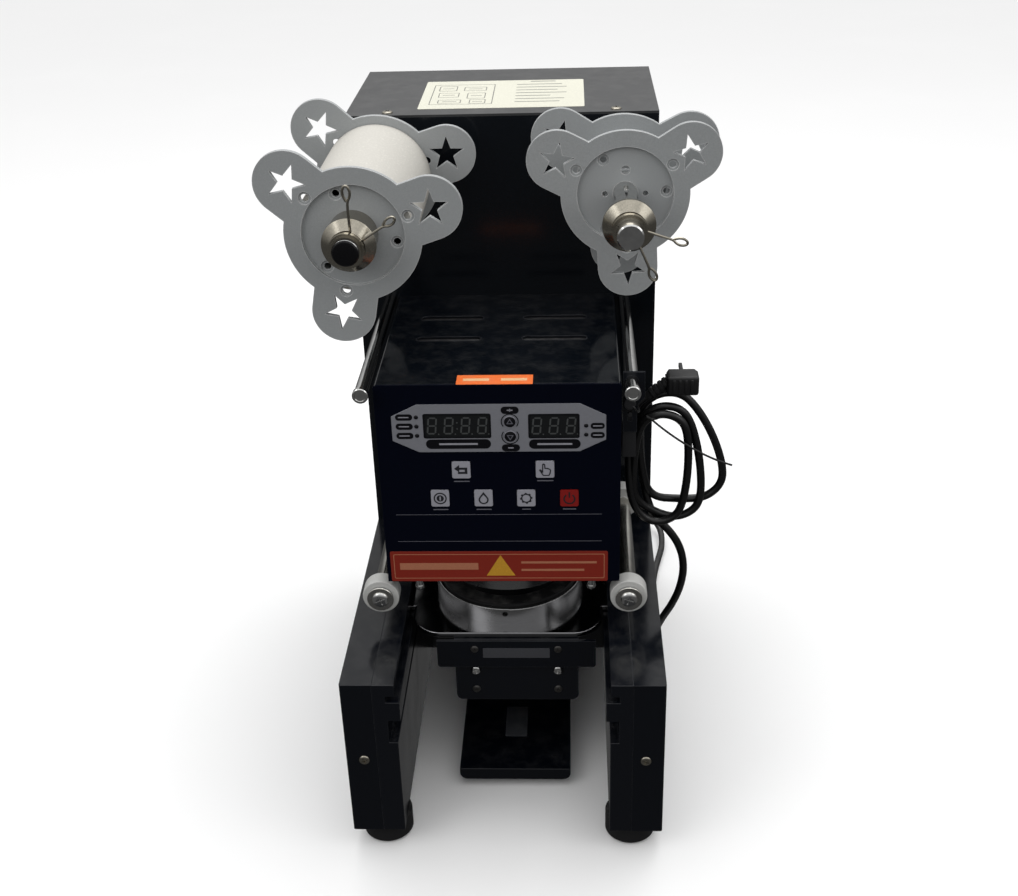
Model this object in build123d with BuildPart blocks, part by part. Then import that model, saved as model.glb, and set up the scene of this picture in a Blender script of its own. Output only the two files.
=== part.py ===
"""Automatic tabletop cup sealing machine: a pull-in cup tray, a heated press head and two film reels.

Frame: +Z up, the operator stands at -Y, +X to the operator's right, millimetres.
Origin: on the bench, under the middle of the casing.
"""

import os
from math import asin, atan, cos, pi, radians, sin, sqrt, tan

from build123d import *

# ---- driving dimensions: casing -------------------------------------------------------------------
WIDTH = 260.0            # over both side covers
TOWER_HEIGHT = 560.0     # bench to the tower's roof
TOWER_DEPTH = 166.5
ARM_REACH = 256.5        # arms in front of the tower
ARM_TOP = 172.0
ARM_COVER = 26.0         # width of the outer, sheet part of an arm
FOOT_HEIGHT = 20.0
FOOT_R = 21.0
SHEET = 2.0              # casing sheet
BASE_SHEET = 3.0

# ---- tray, cup ring and the rails they run in -----------------------------------------------------
RAIL_WIDTH = 18.0        # inner rail of an arm, beside the sheet cover
LEDGE = 3.5              # how far the rail's ledge stands inwards
GROOVE_DEPTH = 11.0
TRAY_TOP = 160.0
TRAY_THICK = 5.0
TRAY_DEPTH = 160.0
TRAY_TRAVEL = 145.0
TRAY_FRONT = -124.0      # front edge, tray in
TRAY_CORNER = 26.0
RUN_GAP = 0.5            # tray to rail, each way
RING_R = 65.0
RING_HEIGHT = 15.5
CUP_R = 47.75            # bore for a 95 mm cup, rim resting on the ring
GASKET = 2.5
PRESS_Y = -46.5          # press axis, and the ring's axis with the tray in

# ---- head and press --------------------------------------------------------------------------------
HEAD_WIDTH = 189.2
HEAD_BOTTOM = 223.5
HEAD_TOP = 401.0
HEAD_REACH = 185.5       # in front of the tower
HEAD_SHEET = 1.5
FACE = 2.0               # front plate of the head
DIE_R = 62.0
DIE_BOTTOM = 193.5       # press up
LAND = 1.0               # sealing land and cutter below the die
CRANK_R = 25.0
PIN_R = 4.0
CRANK_Z = 290.0
POST_X = 74.0
POST_R = 6.0
PRESS_GAP = 0.3          # cutter to gasket, press down

# ---- reels, rods and rollers -----------------------------------------------------------------------
FEED_X = 102.0           # left spindle's axis from the middle, and below the roof
FEED_DROP = 45.0
TAKEUP_X = 100.0         # right spindle's axis
TAKEUP_DROP = 47.5
SPINDLE_R = 10.0
PLATE_R = 51.0
LOBE_R = 24.0
LOBE_REACH = 60.5
PLATE = 4.0
STUB_R = 37.8            # hub stub, in a 76 mm film core
STUB_WALL = 2.5
STUB_DEPTH = 14.0
POCKET_R = 38.1          # shallow round pocket in a reel plate's outer face
POCKET = 3.0
CORE_R = 44.0
CORE_LENGTH = 142.0
REAR_GAP = 19.5          # reel's rear plate to the tower
ROD_GAP = 7.9            # guide rod axis outside the head's side
ROD_R = 5.25
ROD_Z = 398.0
ROLLER_Z = 206.0
AXLE_R = 4.0

# ---- fits ------------------------------------------------------------------------------------------
SLIDE_FIT = 0.05         # radial, shaft in bore
TURN_GAP = 0.3           # radial, a part that turns freely on another
KEY_GAP = 0.3
KEY_PROUD = 0.6
KEY_TRAVEL = 0.5

# ---- places that follow from the above -------------------------------------------------------------
FRONT = -(TOWER_DEPTH + ARM_REACH) / 2
TOWER = FRONT + ARM_REACH
BACK = TOWER + TOWER_DEPTH
SIDE = WIDTH / 2
RAIL_OUT = SIDE - ARM_COVER
RAIL_IN = RAIL_OUT - RAIL_WIDTH
HEAD_SIDE = HEAD_WIDTH / 2
HEAD_FRONT = TOWER - HEAD_REACH
FACE_BACK = HEAD_FRONT + FACE
REELS = {
    "feed": (-FEED_X, TOWER_HEIGHT - FEED_DROP),
    "takeup": (TAKEUP_X, TOWER_HEIGHT - TAKEUP_DROP),
}
ROD_X = HEAD_SIDE + ROD_GAP
RING_TOP = TRAY_TOP + RING_HEIGHT
GASKET_TOP = RING_TOP + GASKET
PRESS_TRAVEL = DIE_BOTTOM - LAND - GASKET_TOP - PRESS_GAP
SIDES = ((-1, "left"), (1, "right"))

os.makedirs("parts", exist_ok=True)


def save(builder, name):
    """Label a finished piece and write it."""
    builder.part.label = name
    export_step(builder.part, f"parts/{name}.step")


def slab(x, y, z, mode=Mode.ADD):
    """Block between two x, two y and two z values, in any order."""
    with Locations(((x[0] + x[1]) / 2, (y[0] + y[1]) / 2, (z[0] + z[1]) / 2)):
        Box(abs(x[1] - x[0]), abs(y[1] - y[0]), abs(z[1] - z[0]), mode=mode)


def rod_x(y, z, radius, x, mode=Mode.ADD):
    """Cylinder along X between two x values."""
    with Locations(((x[0] + x[1]) / 2, y, z)):
        Cylinder(radius, abs(x[1] - x[0]), rotation=(0, 90, 0), mode=mode)


def rod_y(x, z, radius, y, mode=Mode.ADD):
    """Cylinder along Y between two y values."""
    with Locations((x, (y[0] + y[1]) / 2, z)):
        Cylinder(radius, abs(y[1] - y[0]), rotation=(90, 0, 0), mode=mode)


def rod_z(x, y, radius, z, mode=Mode.ADD):
    """Cylinder along Z between two z values."""
    with Locations((x, y, (z[0] + z[1]) / 2)):
        Cylinder(radius, abs(z[1] - z[0]), mode=mode)


# ====================================================================================================
# Casing
# ====================================================================================================
COVER_SCREW_R = 2.0
SCREW_HEAD_R = 4.5
ARM_SCREW_X = SIDE - 15.0
ARM_SCREW_Z = 96.0
ROOF_SCREWS = [(x, TOWER + 9.5) for x in (-95.0, 95.0)]
SIDE_SCREWS = [(TOWER + 14.0, z) for z in (60.0, TOWER_HEIGHT - 40.0)]
SIDE_SCREWS += [(BACK - 14.0, z) for z in (60.0, TOWER_HEIGHT / 2, TOWER_HEIGHT - 40.0)]
BACK_SCREWS = [(x, z) for x in (-SIDE + 12.0, SIDE - 12.0) for z in (40.0, TOWER_HEIGHT - 25.0)]
FEET = [(x, y) for x in (-SIDE + 26.0, SIDE - 26.0) for y in (FRONT + 26.0, BACK - 26.0)]
RACK_FACE = 7.0
RACK_X = RAIL_OUT + 5.0
RACK_BODY = 7.3
PITCH_Z = TRAY_TOP - 9.0
GLAND_X = 80.0
GLAND_Z = 60.0
GLAND_R = 8.0

with BuildPart() as base_plate:
    slab((-SIDE + SHEET, SIDE - SHEET), (TOWER, BACK - SHEET), (FOOT_HEIGHT, FOOT_HEIGHT + BASE_SHEET))
save(base_plate, "base_plate")

for side, word in SIDES:
    with BuildPart() as cover:
        outer, inner = side * SIDE, side * (SIDE - SHEET)
        slab((outer, inner), (FRONT, TOWER), (FOOT_HEIGHT, ARM_TOP))
        slab((outer, inner), (TOWER, BACK - SHEET), (FOOT_HEIGHT, TOWER_HEIGHT - SHEET))
        slab((outer, side * RAIL_OUT), (FRONT, FRONT + SHEET), (FOOT_HEIGHT, ARM_TOP))
        slab((outer, side * RAIL_OUT), (FRONT, TOWER), (ARM_TOP - SHEET, ARM_TOP))
        slab((outer, side * RAIL_OUT), (FRONT, TOWER), (FOOT_HEIGHT, FOOT_HEIGHT + SHEET))
        front_edge = cover.edges().filter_by(Axis.Z).group_by(Axis.Y)[0]
        fillet(front_edge.sort_by(Axis.X)[0 if side < 0 else -1], 1.8)
        rod_y(side * ARM_SCREW_X, ARM_SCREW_Z, COVER_SCREW_R, (FRONT, FRONT + SHEET), Mode.SUBTRACT)
        for y, z in SIDE_SCREWS:
            rod_x(y, z, COVER_SCREW_R, (outer, inner), Mode.SUBTRACT)
    save(cover, f"{word}_side_cover")

for side, word in SIDES:
    groove = (TRAY_TOP - TRAY_THICK - RUN_GAP, TRAY_TOP + RUN_GAP)
    with BuildPart() as rail:
        slab((side * RAIL_IN, side * RAIL_OUT), (FRONT, TOWER), (FOOT_HEIGHT, ARM_TOP))
        slab((side * (RAIL_IN - LEDGE), side * RAIL_IN), (FRONT, TOWER), (136.0, groove[0]))
        slab((side * RAIL_IN, side * (RAIL_IN + 7.0)), (FRONT, TOWER), (114.0, 136.0), Mode.SUBTRACT)
        groove_end = RAIL_IN - LEDGE + GROOVE_DEPTH
        slab((side * RAIL_IN, side * groove_end), (FRONT, TOWER), groove, Mode.SUBTRACT)
        chamber = (FOOT_HEIGHT + 4.0, 110.0)
        slab((side * (RAIL_IN + 3.0), side * (RAIL_OUT - 3.0)), (FRONT + 4.0, TOWER), chamber, Mode.SUBTRACT)
        if side > 0:
            window = (FRONT + SHEET + 15.0, FRONT + SHEET + 15.0 + TRAY_TRAVEL + 45.0)
            slab((groove_end, RAIL_OUT), window, groove, Mode.SUBTRACT)
    save(rail, f"{word}_arm_rail")

with BuildPart() as tower_front_panel:
    panel = (TOWER, TOWER + SHEET)
    slab((-SIDE + SHEET, SIDE - SHEET), panel, (FOOT_HEIGHT + BASE_SHEET, TOWER_HEIGHT - SHEET))
    for axis in REELS.values():
        rod_y(*axis, SPINDLE_R + 2.0, panel, Mode.SUBTRACT)
    for side in (-1, 1):
        rod_y(side * ROD_X, ROD_Z, ROD_R, panel, Mode.SUBTRACT)
        rod_y(side * ROD_X, ROLLER_Z, AXLE_R, panel, Mode.SUBTRACT)
        wiring = (side * (RAIL_OUT + 2.5), side * (SIDE - SHEET - 2.0))
        slab(wiring, panel, (FOOT_HEIGHT + 30.0, ARM_TOP - 5.0), Mode.SUBTRACT)
    slab((-40.0, 40.0), panel, (HEAD_TOP - 60.0, HEAD_TOP - 15.0), Mode.SUBTRACT)
save(tower_front_panel, "tower_front_panel")

with BuildPart() as rear_cover:
    slab((-SIDE, SIDE), (BACK - SHEET, BACK), (FOOT_HEIGHT, TOWER_HEIGHT))
    slab((-SIDE, SIDE), (TOWER, BACK), (TOWER_HEIGHT - SHEET, TOWER_HEIGHT))
    for x, y in ROOF_SCREWS:
        rod_z(x, y, COVER_SCREW_R, (TOWER_HEIGHT - SHEET, TOWER_HEIGHT), Mode.SUBTRACT)
    for x, z in BACK_SCREWS:
        rod_y(x, z, COVER_SCREW_R, (BACK - SHEET, BACK), Mode.SUBTRACT)
    rod_y(GLAND_X, GLAND_Z, GLAND_R, (BACK - SHEET, BACK), Mode.SUBTRACT)
    with Locations((0, BACK - SHEET / 2, TOWER_HEIGHT * 0.62)):
        with GridLocations(30.0, 0.1, 5, 1):
            for row in range(-3, 4):
                with Locations((0, 0, row * 12.0)):
                    Box(20.0, SHEET, 4.0, mode=Mode.SUBTRACT)
save(rear_cover, "rear_cover")

PLATFORM_X = 4.0
PLATFORM_HALF = 49.5
PLATFORM_THICK = 12.0
with BuildPart() as cup_platform:
    across = (PLATFORM_X - PLATFORM_HALF, PLATFORM_X + PLATFORM_HALF)
    slab(across, (TOWER - 180.5, TOWER + 30.0), (FOOT_HEIGHT - PLATFORM_THICK, FOOT_HEIGHT))
    fillet(cup_platform.edges().filter_by(Axis.Y).group_by(Axis.Z)[0], 7.0)
save(cup_platform, "cup_platform")

with BuildPart() as rubber_feet:
    with Locations(*[(x, y, FOOT_HEIGHT / 2) for x, y in FEET]):
        Cylinder(FOOT_R, FOOT_HEIGHT)
    chamfer(rubber_feet.edges().filter_by(GeomType.CIRCLE).group_by(Axis.Z)[0], 2.0)
save(rubber_feet, "rubber_feet")

SHANK = 6.0
HEAD_PROUD = 2.2
with BuildPart() as casing_screws:
    for side in (-1, 1):
        rod_y(side * ARM_SCREW_X, ARM_SCREW_Z, SCREW_HEAD_R, (FRONT - HEAD_PROUD, FRONT))
        rod_y(side * ARM_SCREW_X, ARM_SCREW_Z, COVER_SCREW_R, (FRONT, FRONT + SHANK))
        for y, z in SIDE_SCREWS:
            rod_x(y, z, SCREW_HEAD_R, (side * SIDE, side * (SIDE + HEAD_PROUD)))
            rod_x(y, z, COVER_SCREW_R, (side * (SIDE - SHANK), side * SIDE))
    for x, y in ROOF_SCREWS:
        rod_z(x, y, SCREW_HEAD_R, (TOWER_HEIGHT, TOWER_HEIGHT + HEAD_PROUD))
        rod_z(x, y, COVER_SCREW_R, (TOWER_HEIGHT - SHANK, TOWER_HEIGHT))
    for x, z in BACK_SCREWS:
        rod_y(x, z, SCREW_HEAD_R, (BACK, BACK + HEAD_PROUD))
        rod_y(x, z, COVER_SCREW_R, (BACK - SHANK, BACK))
save(casing_screws, "casing_screws")

# ====================================================================================================
# Head: shell, front plate and its controls
# ====================================================================================================
VENT = (52.0, 8.0)
VENTS = [(side * 43.0, TOWER - y) for side in (-1, 1) for y in (97.5, 53.5)]

with BuildPart() as head_shell:
    slab((-HEAD_SIDE, HEAD_SIDE), (FACE_BACK, TOWER), (HEAD_BOTTOM, HEAD_TOP))
    fillet(head_shell.edges().filter_by(Axis.Y).group_by(Axis.Z)[-1], 2.5)
    inner = HEAD_SIDE - HEAD_SHEET
    slab((-inner, inner), (FACE_BACK, TOWER), (HEAD_BOTTOM, HEAD_TOP - HEAD_SHEET), Mode.SUBTRACT)
    with BuildSketch(Plane.XY.offset(HEAD_TOP)):
        with Locations(*VENTS):
            SlotOverall(*VENT)
    extrude(amount=-HEAD_SHEET, mode=Mode.SUBTRACT)
save(head_shell, "head_shell")

# Keys: name, x, z, and half width and half height, or one radius
SQUARE_KEY = (7.2, 7.4)
ROUND_KEY_R = 4.9
KEYS = {
    "back_key": (-30.0, 327.8),
    "hand_key": (35.6, 327.9),
    "stop_key": (-47.8, 302.3),
    "drop_key": (-13.4, 302.3),
    "settings_key": (20.4, 302.1),
    "power_key": (54.4, 301.9),
}
ROUND_KEYS = {"up_key": (9.2, 370.0), "down_key": (9.3, 357.4)}
DISPLAYS = [(-31.5, 366.6, 51.0, 20.2), (43.0, 366.0, 38.0, 20.0)]
LIGHTS = [(-62.8, z) for z in (374.3, 366.4, 358.4)] + [(67.7, z) for z in (366.1, 358.4)]
KEY_FLANGE = 1.0
LIGHT_R = 1.6

with BuildPart() as head_front_plate:
    depth = (HEAD_FRONT, FACE_BACK)
    slab((-HEAD_SIDE, HEAD_SIDE), depth, (HEAD_BOTTOM, HEAD_TOP))
    fillet(head_front_plate.edges().filter_by(Axis.Y).group_by(Axis.Z)[-1], 2.5)
    for x, z in KEYS.values():
        wide, high = SQUARE_KEY[0] + KEY_GAP, SQUARE_KEY[1] + KEY_GAP
        slab((x - wide, x + wide), depth, (z - high, z + high), Mode.SUBTRACT)
    for x, z in ROUND_KEYS.values():
        rod_y(x, z, ROUND_KEY_R + KEY_GAP, depth, Mode.SUBTRACT)
    for x, z, wide, high in DISPLAYS:
        slab((x - wide / 2, x + wide / 2), depth, (z - high / 2, z + high / 2), Mode.SUBTRACT)
    for x, z in LIGHTS:
        rod_y(x, z, LIGHT_R, depth, Mode.SUBTRACT)
save(head_front_plate, "head_front_plate")

BEZEL_THICK = 0.8
BEZEL = (-82.0, 83.0, 344.0, 385.0)
BEZEL_CORNER = (20.0, 10.0)
with BuildPart() as control_bezel:
    depth = (HEAD_FRONT - BEZEL_THICK, HEAD_FRONT)
    left, right, bottom, top = BEZEL
    along, up = BEZEL_CORNER
    with BuildSketch(Plane(origin=(0, depth[1], 0), x_dir=(1, 0, 0), z_dir=(0, -1, 0))):
        with BuildLine():
            Polyline(
                (left, bottom + up), (left + along, bottom), (right - along, bottom), (right, bottom + up),
                (right, top - up), (right - along, top), (left + along, top), (left, top - up),
                close=True,
            )
        make_face()
    extrude(amount=BEZEL_THICK)
    for x, z in ROUND_KEYS.values():
        rod_y(x, z, ROUND_KEY_R + KEY_GAP, depth, Mode.SUBTRACT)
    for x, z, wide, high in DISPLAYS:
        slab((x - wide / 2, x + wide / 2), depth, (z - high / 2, z + high / 2), Mode.SUBTRACT)
    for x, z in LIGHTS:
        rod_y(x, z, LIGHT_R, depth, Mode.SUBTRACT)
save(control_bezel, "control_bezel")

BOARD = (HEAD_FRONT + 8.0, HEAD_FRONT + 9.6)
SWITCH_R = 3.0
with BuildPart() as control_board:
    slab((-80.0, 80.0), BOARD, (292.0, 386.0))
    for x, z, wide, high in DISPLAYS:
        wide, high = wide - 2 * SLIDE_FIT, high - 2 * SLIDE_FIT
        slab((x - wide / 2, x + wide / 2), (HEAD_FRONT, BOARD[0]), (z - high / 2, z + high / 2))
    for x, z in LIGHTS:
        rod_y(x, z, LIGHT_R - SLIDE_FIT, (HEAD_FRONT - BEZEL_THICK, BOARD[0]))
    switch_top = FACE_BACK + KEY_FLANGE + KEY_TRAVEL + 0.2
    for x, z in (*KEYS.values(), *ROUND_KEYS.values()):
        rod_y(x, z, SWITCH_R, (switch_top, BOARD[0]))
    for x in (-74.0, 74.0):
        for z in (296.0, 340.0):
            rod_y(x, z, 2.5, (FACE_BACK, BOARD[0]))
save(control_board, "control_board")

for name, (x, z) in KEYS.items():
    with BuildPart() as key:
        front = HEAD_FRONT - KEY_PROUD
        wide, high = SQUARE_KEY
        slab((x - wide, x + wide), (front, FACE_BACK), (z - high, z + high))
        fillet(key.edges().filter_by(Axis.Y), 1.5)
        slab((x - wide - 1, x + wide + 1), (FACE_BACK, FACE_BACK + KEY_FLANGE), (z - high - 1, z + high + 1))
    save(key, name)

for name, (x, z) in ROUND_KEYS.items():
    with BuildPart() as key:
        rod_y(x, z, ROUND_KEY_R, (HEAD_FRONT - BEZEL_THICK - KEY_PROUD, FACE_BACK))
        rod_y(x, z, ROUND_KEY_R + 0.9, (FACE_BACK, FACE_BACK + KEY_FLANGE))
    save(key, name)

# ====================================================================================================
# Press: welded frame, guide posts, gearmotor, crank and the die that it drives
# ====================================================================================================
BED = (HEAD_BOTTOM + 2.0, HEAD_BOTTOM + 6.0)
DIE_OPENING = DIE_R + 2.5
ROOF_Z = (HEAD_BOTTOM + 106.5, HEAD_BOTTOM + 112.5)
PIN_X = 72.0
PIN_Y = HEAD_FRONT + 24.0
YOKE = (PRESS_Y - 11.5, PRESS_Y - 5.5)
CRANK_DISC = (YOKE[1] + 2.0, YOKE[1] + 9.0)
MOTOR_WALL = (CRANK_DISC[1] + 5.0, CRANK_DISC[1] + 10.0)
REST_ANGLE = asin(PRESS_TRAVEL / 2 / CRANK_R)
REST_PIN = (CRANK_R * cos(REST_ANGLE), CRANK_Z + CRANK_R * sin(REST_ANGLE))

with BuildPart() as press_frame:
    bed_half = HEAD_SIDE - HEAD_SHEET
    slab((-bed_half, bed_half), (FACE_BACK, TOWER), BED)
    slab((-bed_half, bed_half), (PRESS_Y - 22.0, TOWER), ROOF_Z)
    for side in (-1, 1):
        slab((side * bed_half, side * (bed_half - 4.0)), (TOWER - 40.0, TOWER), (BED[1], ROOF_Z[0]))
    slab((-56.0, 56.0), MOTOR_WALL, (CRANK_Z - 34.0, ROOF_Z[0]))
    rod_z(0, PRESS_Y, DIE_OPENING, BED, Mode.SUBTRACT)
    rod_y(0, CRANK_Z, 9.0, MOTOR_WALL, Mode.SUBTRACT)
    for side in (-1, 1):
        rod_z(side * POST_X, PRESS_Y, POST_R, BED, Mode.SUBTRACT)
        rod_z(side * POST_X, PRESS_Y, POST_R, ROOF_Z, Mode.SUBTRACT)
        rod_z(side * PIN_X, PIN_Y, 2.5, BED, Mode.SUBTRACT)
save(press_frame, "press_frame")

with BuildPart() as guide_posts:
    for side in (-1, 1):
        rod_z(side * POST_X, PRESS_Y, POST_R, (BED[0], ROOF_Z[1] + 3.0))
save(guide_posts, "guide_posts")

with BuildPart() as locating_pins:
    for side in (-1, 1):
        rod_z(side * PIN_X, PIN_Y, 2.5, (BED[0], BED[1]))
        rod_z(side * PIN_X, PIN_Y, 3.4, (HEAD_BOTTOM - 20.0, BED[0]))
        with Locations((side * PIN_X, PIN_Y, HEAD_BOTTOM - 20.0)):
            Sphere(3.9)
save(locating_pins, "locating_pins")

GEARBOX = 30.0
with BuildPart() as press_gearmotor:
    slab((-GEARBOX, GEARBOX), (MOTOR_WALL[1], MOTOR_WALL[1] + 30.0), (CRANK_Z - GEARBOX, CRANK_Z + GEARBOX))
    rod_y(0, CRANK_Z, 27.0, (MOTOR_WALL[1] + 30.0, TOWER - 4.0))
    rod_y(0, CRANK_Z, 4.0, (CRANK_DISC[0] + 1.0, MOTOR_WALL[1]))
save(press_gearmotor, "press_gearmotor")

with BuildPart() as press_crank:
    rod_y(0, CRANK_Z, CRANK_R + 7.0, CRANK_DISC)
    rod_y(0, CRANK_Z, 10.0, (CRANK_DISC[1], MOTOR_WALL[0] - 1.0))
    rod_y(0, CRANK_Z, 4.0 + SLIDE_FIT, (CRANK_DISC[0], MOTOR_WALL[0]), Mode.SUBTRACT)
    rod_y(*REST_PIN, PIN_R, (YOKE[0] - 2.0, CRANK_DISC[0]))
save(press_crank, "press_crank")

DIE_TOP = DIE_BOTTOM + 18.0
CARRIAGE = (BED[1] + PRESS_TRAVEL + 4.6, BED[1] + PRESS_TRAVEL + 11.1)
PIN_SLOT_GAP = 0.4
YOKE_X = CRANK_R - 0.5
with BuildPart() as die_carriage:
    slab((-POST_X - 12.0, POST_X + 12.0), (PRESS_Y - 20.0, PRESS_Y + 20.0), CARRIAGE)
    rod_z(0, PRESS_Y, 26.0, (DIE_TOP, CARRIAGE[0]))
    boss = (CARRIAGE[0] - 4.0, CARRIAGE[1] + 14.0)
    for side in (-1, 1):
        rod_z(side * POST_X, PRESS_Y, 12.0, boss)
    slab((YOKE_X - 16.0, YOKE_X + 16.0), YOKE, (CARRIAGE[1], REST_PIN[1] + 12.0))
    slot_x = (YOKE_X - PIN_R - 1.5, YOKE_X + PIN_R + 1.5)
    slot_z = (REST_PIN[1] - PIN_R - PIN_SLOT_GAP, REST_PIN[1] + PIN_R + PIN_SLOT_GAP)
    slab(slot_x, YOKE, slot_z, Mode.SUBTRACT)
    for side in (-1, 1):
        rod_z(side * POST_X, PRESS_Y, POST_R + SLIDE_FIT, boss, Mode.SUBTRACT)
save(die_carriage, "die_carriage")

LAND_R = (CUP_R - 1.5, CUP_R + 1.5)
CUTTER_R = (CUP_R + 3.0, CUP_R + 4.2)
CUTTER_SEAT = 4.0
with BuildPart() as heat_die:
    rod_z(0, PRESS_Y, DIE_R, (DIE_BOTTOM, DIE_TOP))
    rod_z(0, PRESS_Y, LAND_R[1], (DIE_BOTTOM - LAND + 0.3, DIE_BOTTOM))
    rod_z(0, PRESS_Y, LAND_R[0], (DIE_BOTTOM - LAND + 0.3, DIE_BOTTOM), Mode.SUBTRACT)
    groove_r = (CUTTER_R[0] - SLIDE_FIT, CUTTER_R[1] + SLIDE_FIT)
    with BuildSketch(Plane.XY.offset(DIE_BOTTOM)):
        with Locations((0, PRESS_Y)):
            Circle(groove_r[1])
            Circle(groove_r[0], mode=Mode.SUBTRACT)
    extrude(amount=CUTTER_SEAT, mode=Mode.SUBTRACT)
save(heat_die, "heat_die")

with BuildPart() as cutter_ring:
    with BuildSketch(Plane.XY.offset(DIE_BOTTOM - LAND)):
        with Locations((0, PRESS_Y)):
            Circle(CUTTER_R[1])
            Circle(CUTTER_R[0], mode=Mode.SUBTRACT)
    extrude(amount=LAND + CUTTER_SEAT)
    teeth = 60
    with Locations((0, PRESS_Y, DIE_BOTTOM - LAND)):
        with PolarLocations((CUTTER_R[0] + CUTTER_R[1]) / 2, teeth):
            Box(4.0, 2.2, 1.1, rotation=(45, 0, 0), mode=Mode.SUBTRACT)
save(cutter_ring, "cutter_ring")

# ====================================================================================================
# Tray: plate, cup ring, gasket, door and the rack that moves it
# ====================================================================================================
TRAY_HALF = RAIL_IN - LEDGE - 1.0
FLANGE_END = RAIL_IN - LEDGE + GROOVE_DEPTH - RUN_GAP - 0.5
TRAY_REAR = TRAY_FRONT + TRAY_DEPTH

with BuildPart() as tray_plate:
    slab((-TRAY_HALF, TRAY_HALF), (TRAY_FRONT, TRAY_REAR), (TRAY_TOP - TRAY_THICK, TRAY_TOP))
    fillet(tray_plate.edges().filter_by(Axis.Z).group_by(Axis.Y)[0], TRAY_CORNER)
    flange_z = (TRAY_TOP - TRAY_THICK, TRAY_TOP)
    slab((-FLANGE_END, FLANGE_END), (TRAY_FRONT + 40.0, TRAY_REAR), flange_z)
    rod_z(0, PRESS_Y, CUP_R + 4.0, flange_z, Mode.SUBTRACT)
save(tray_plate, "tray_plate")

with BuildPart() as cup_ring:
    rod_z(0, PRESS_Y, RING_R, (TRAY_TOP, RING_TOP))
    fillet(cup_ring.edges().group_by(Axis.Z)[-1], 1.0)
    rod_z(0, PRESS_Y, CUP_R + 4.0, (TRAY_TOP - 4.0, TRAY_TOP))
    rod_z(0, PRESS_Y, CUP_R, (TRAY_TOP - 4.0, RING_TOP), Mode.SUBTRACT)
    rod_y(-1.5, TRAY_TOP + 10.5, 2.4, (PRESS_Y - RING_R, PRESS_Y - RING_R + 9.0), Mode.SUBTRACT)
save(cup_ring, "cup_ring")

with BuildPart() as ring_gasket:
    rod_z(0, PRESS_Y, RING_R - 4.0, (RING_TOP, GASKET_TOP))
    rod_z(0, PRESS_Y, CUP_R, (RING_TOP, GASKET_TOP), Mode.SUBTRACT)
save(ring_gasket, "ring_gasket")

DOOR_X = 8.0
DOOR_HALF = 67.7
BRACKET_HALF = 53.0
DOOR_Y = (TRAY_FRONT - 5.5, TRAY_FRONT - 2.5)
DOOR_SCREW_R = 2.0
DOOR_SCREWS = [(DOOR_X + x, 147.0) for x in (-35.5, 35.5)]
BRACKET_SCREWS = [(DOOR_X + x, z) for x in (-35.5, 35.5) for z in (123.0, 102.6)]

with BuildPart() as door_plate:
    slab((DOOR_X - DOOR_HALF, DOOR_X + DOOR_HALF), DOOR_Y, (128.0, TRAY_TOP - TRAY_THICK))
    fillet(door_plate.edges().filter_by(Axis.Y).group_by(Axis.Z)[0], 3.0)
    for x, z in DOOR_SCREWS:
        rod_y(x, z, DOOR_SCREW_R, DOOR_Y, Mode.SUBTRACT)
save(door_plate, "door_plate")

with BuildPart() as door_bracket:
    across = (DOOR_X - BRACKET_HALF, DOOR_X + BRACKET_HALF)
    slab(across, (DOOR_Y[1], DOOR_Y[1] + 2.5), (91.0, TRAY_TOP - TRAY_THICK))
    slab(across, (DOOR_Y[1], TRAY_FRONT + 12.0), (TRAY_TOP - TRAY_THICK - 2.5, TRAY_TOP - TRAY_THICK))
    fillet(door_bracket.edges().filter_by(Axis.Y).group_by(Axis.Z)[0], 6.0)
    for x, z in (*DOOR_SCREWS, *BRACKET_SCREWS):
        rod_y(x, z, DOOR_SCREW_R, (DOOR_Y[1], DOOR_Y[1] + 2.5), Mode.SUBTRACT)
save(door_bracket, "door_bracket")

TEETH = 16
MODULE = 1.0
BACKLASH = 0.16
PINION_R = TEETH * MODULE / 2
PINION_Z = PITCH_Z - PINION_R
RACK_REST = FRONT + SHEET + TRAY_TRAVEL + 3.5
PINION_Y = RACK_REST + 10.0
RACK_LENGTH = TRAY_TRAVEL + 18.0
PRESSURE = radians(20)


def involute_flank(radius):
    """Half the angle that a tooth covers at a radius, for a tooth with backlash."""
    base = PINION_R * cos(PRESSURE)
    roll = max(radius**2 / base**2 - 1, 0)
    at_radius = sqrt(roll) - atan(sqrt(roll))
    at_pitch = tan(PRESSURE) - PRESSURE
    return pi / (2 * TEETH) - BACKLASH / 2 / (2 * PINION_R) + at_pitch - at_radius


def pinion_outline():
    """Points of the pinion's outline, with a gap between teeth at the top, under the rack."""
    radii = [PINION_R - 1.15 * MODULE + step * 2.1 * MODULE / 6 for step in range(7)]
    points = []
    for tooth in range(TEETH):
        centre = 2 * pi * tooth / TEETH + pi / 2
        flank = [(r, centre - involute_flank(r)) for r in radii]
        flank += [(r, centre + involute_flank(r)) for r in reversed(radii)]
        points += [(r * cos(a), r * sin(a)) for r, a in flank]
    return points


with BuildPart() as drive_pinion:
    with BuildSketch(Plane(origin=(RACK_X, PINION_Y, PINION_Z), x_dir=(0, 1, 0), z_dir=(1, 0, 0))):
        with BuildLine():
            Polyline(*pinion_outline(), close=True)
        make_face()
        Circle(2.5 + SLIDE_FIT, mode=Mode.SUBTRACT)
    extrude(amount=RACK_FACE)
save(drive_pinion, "drive_pinion")

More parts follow.
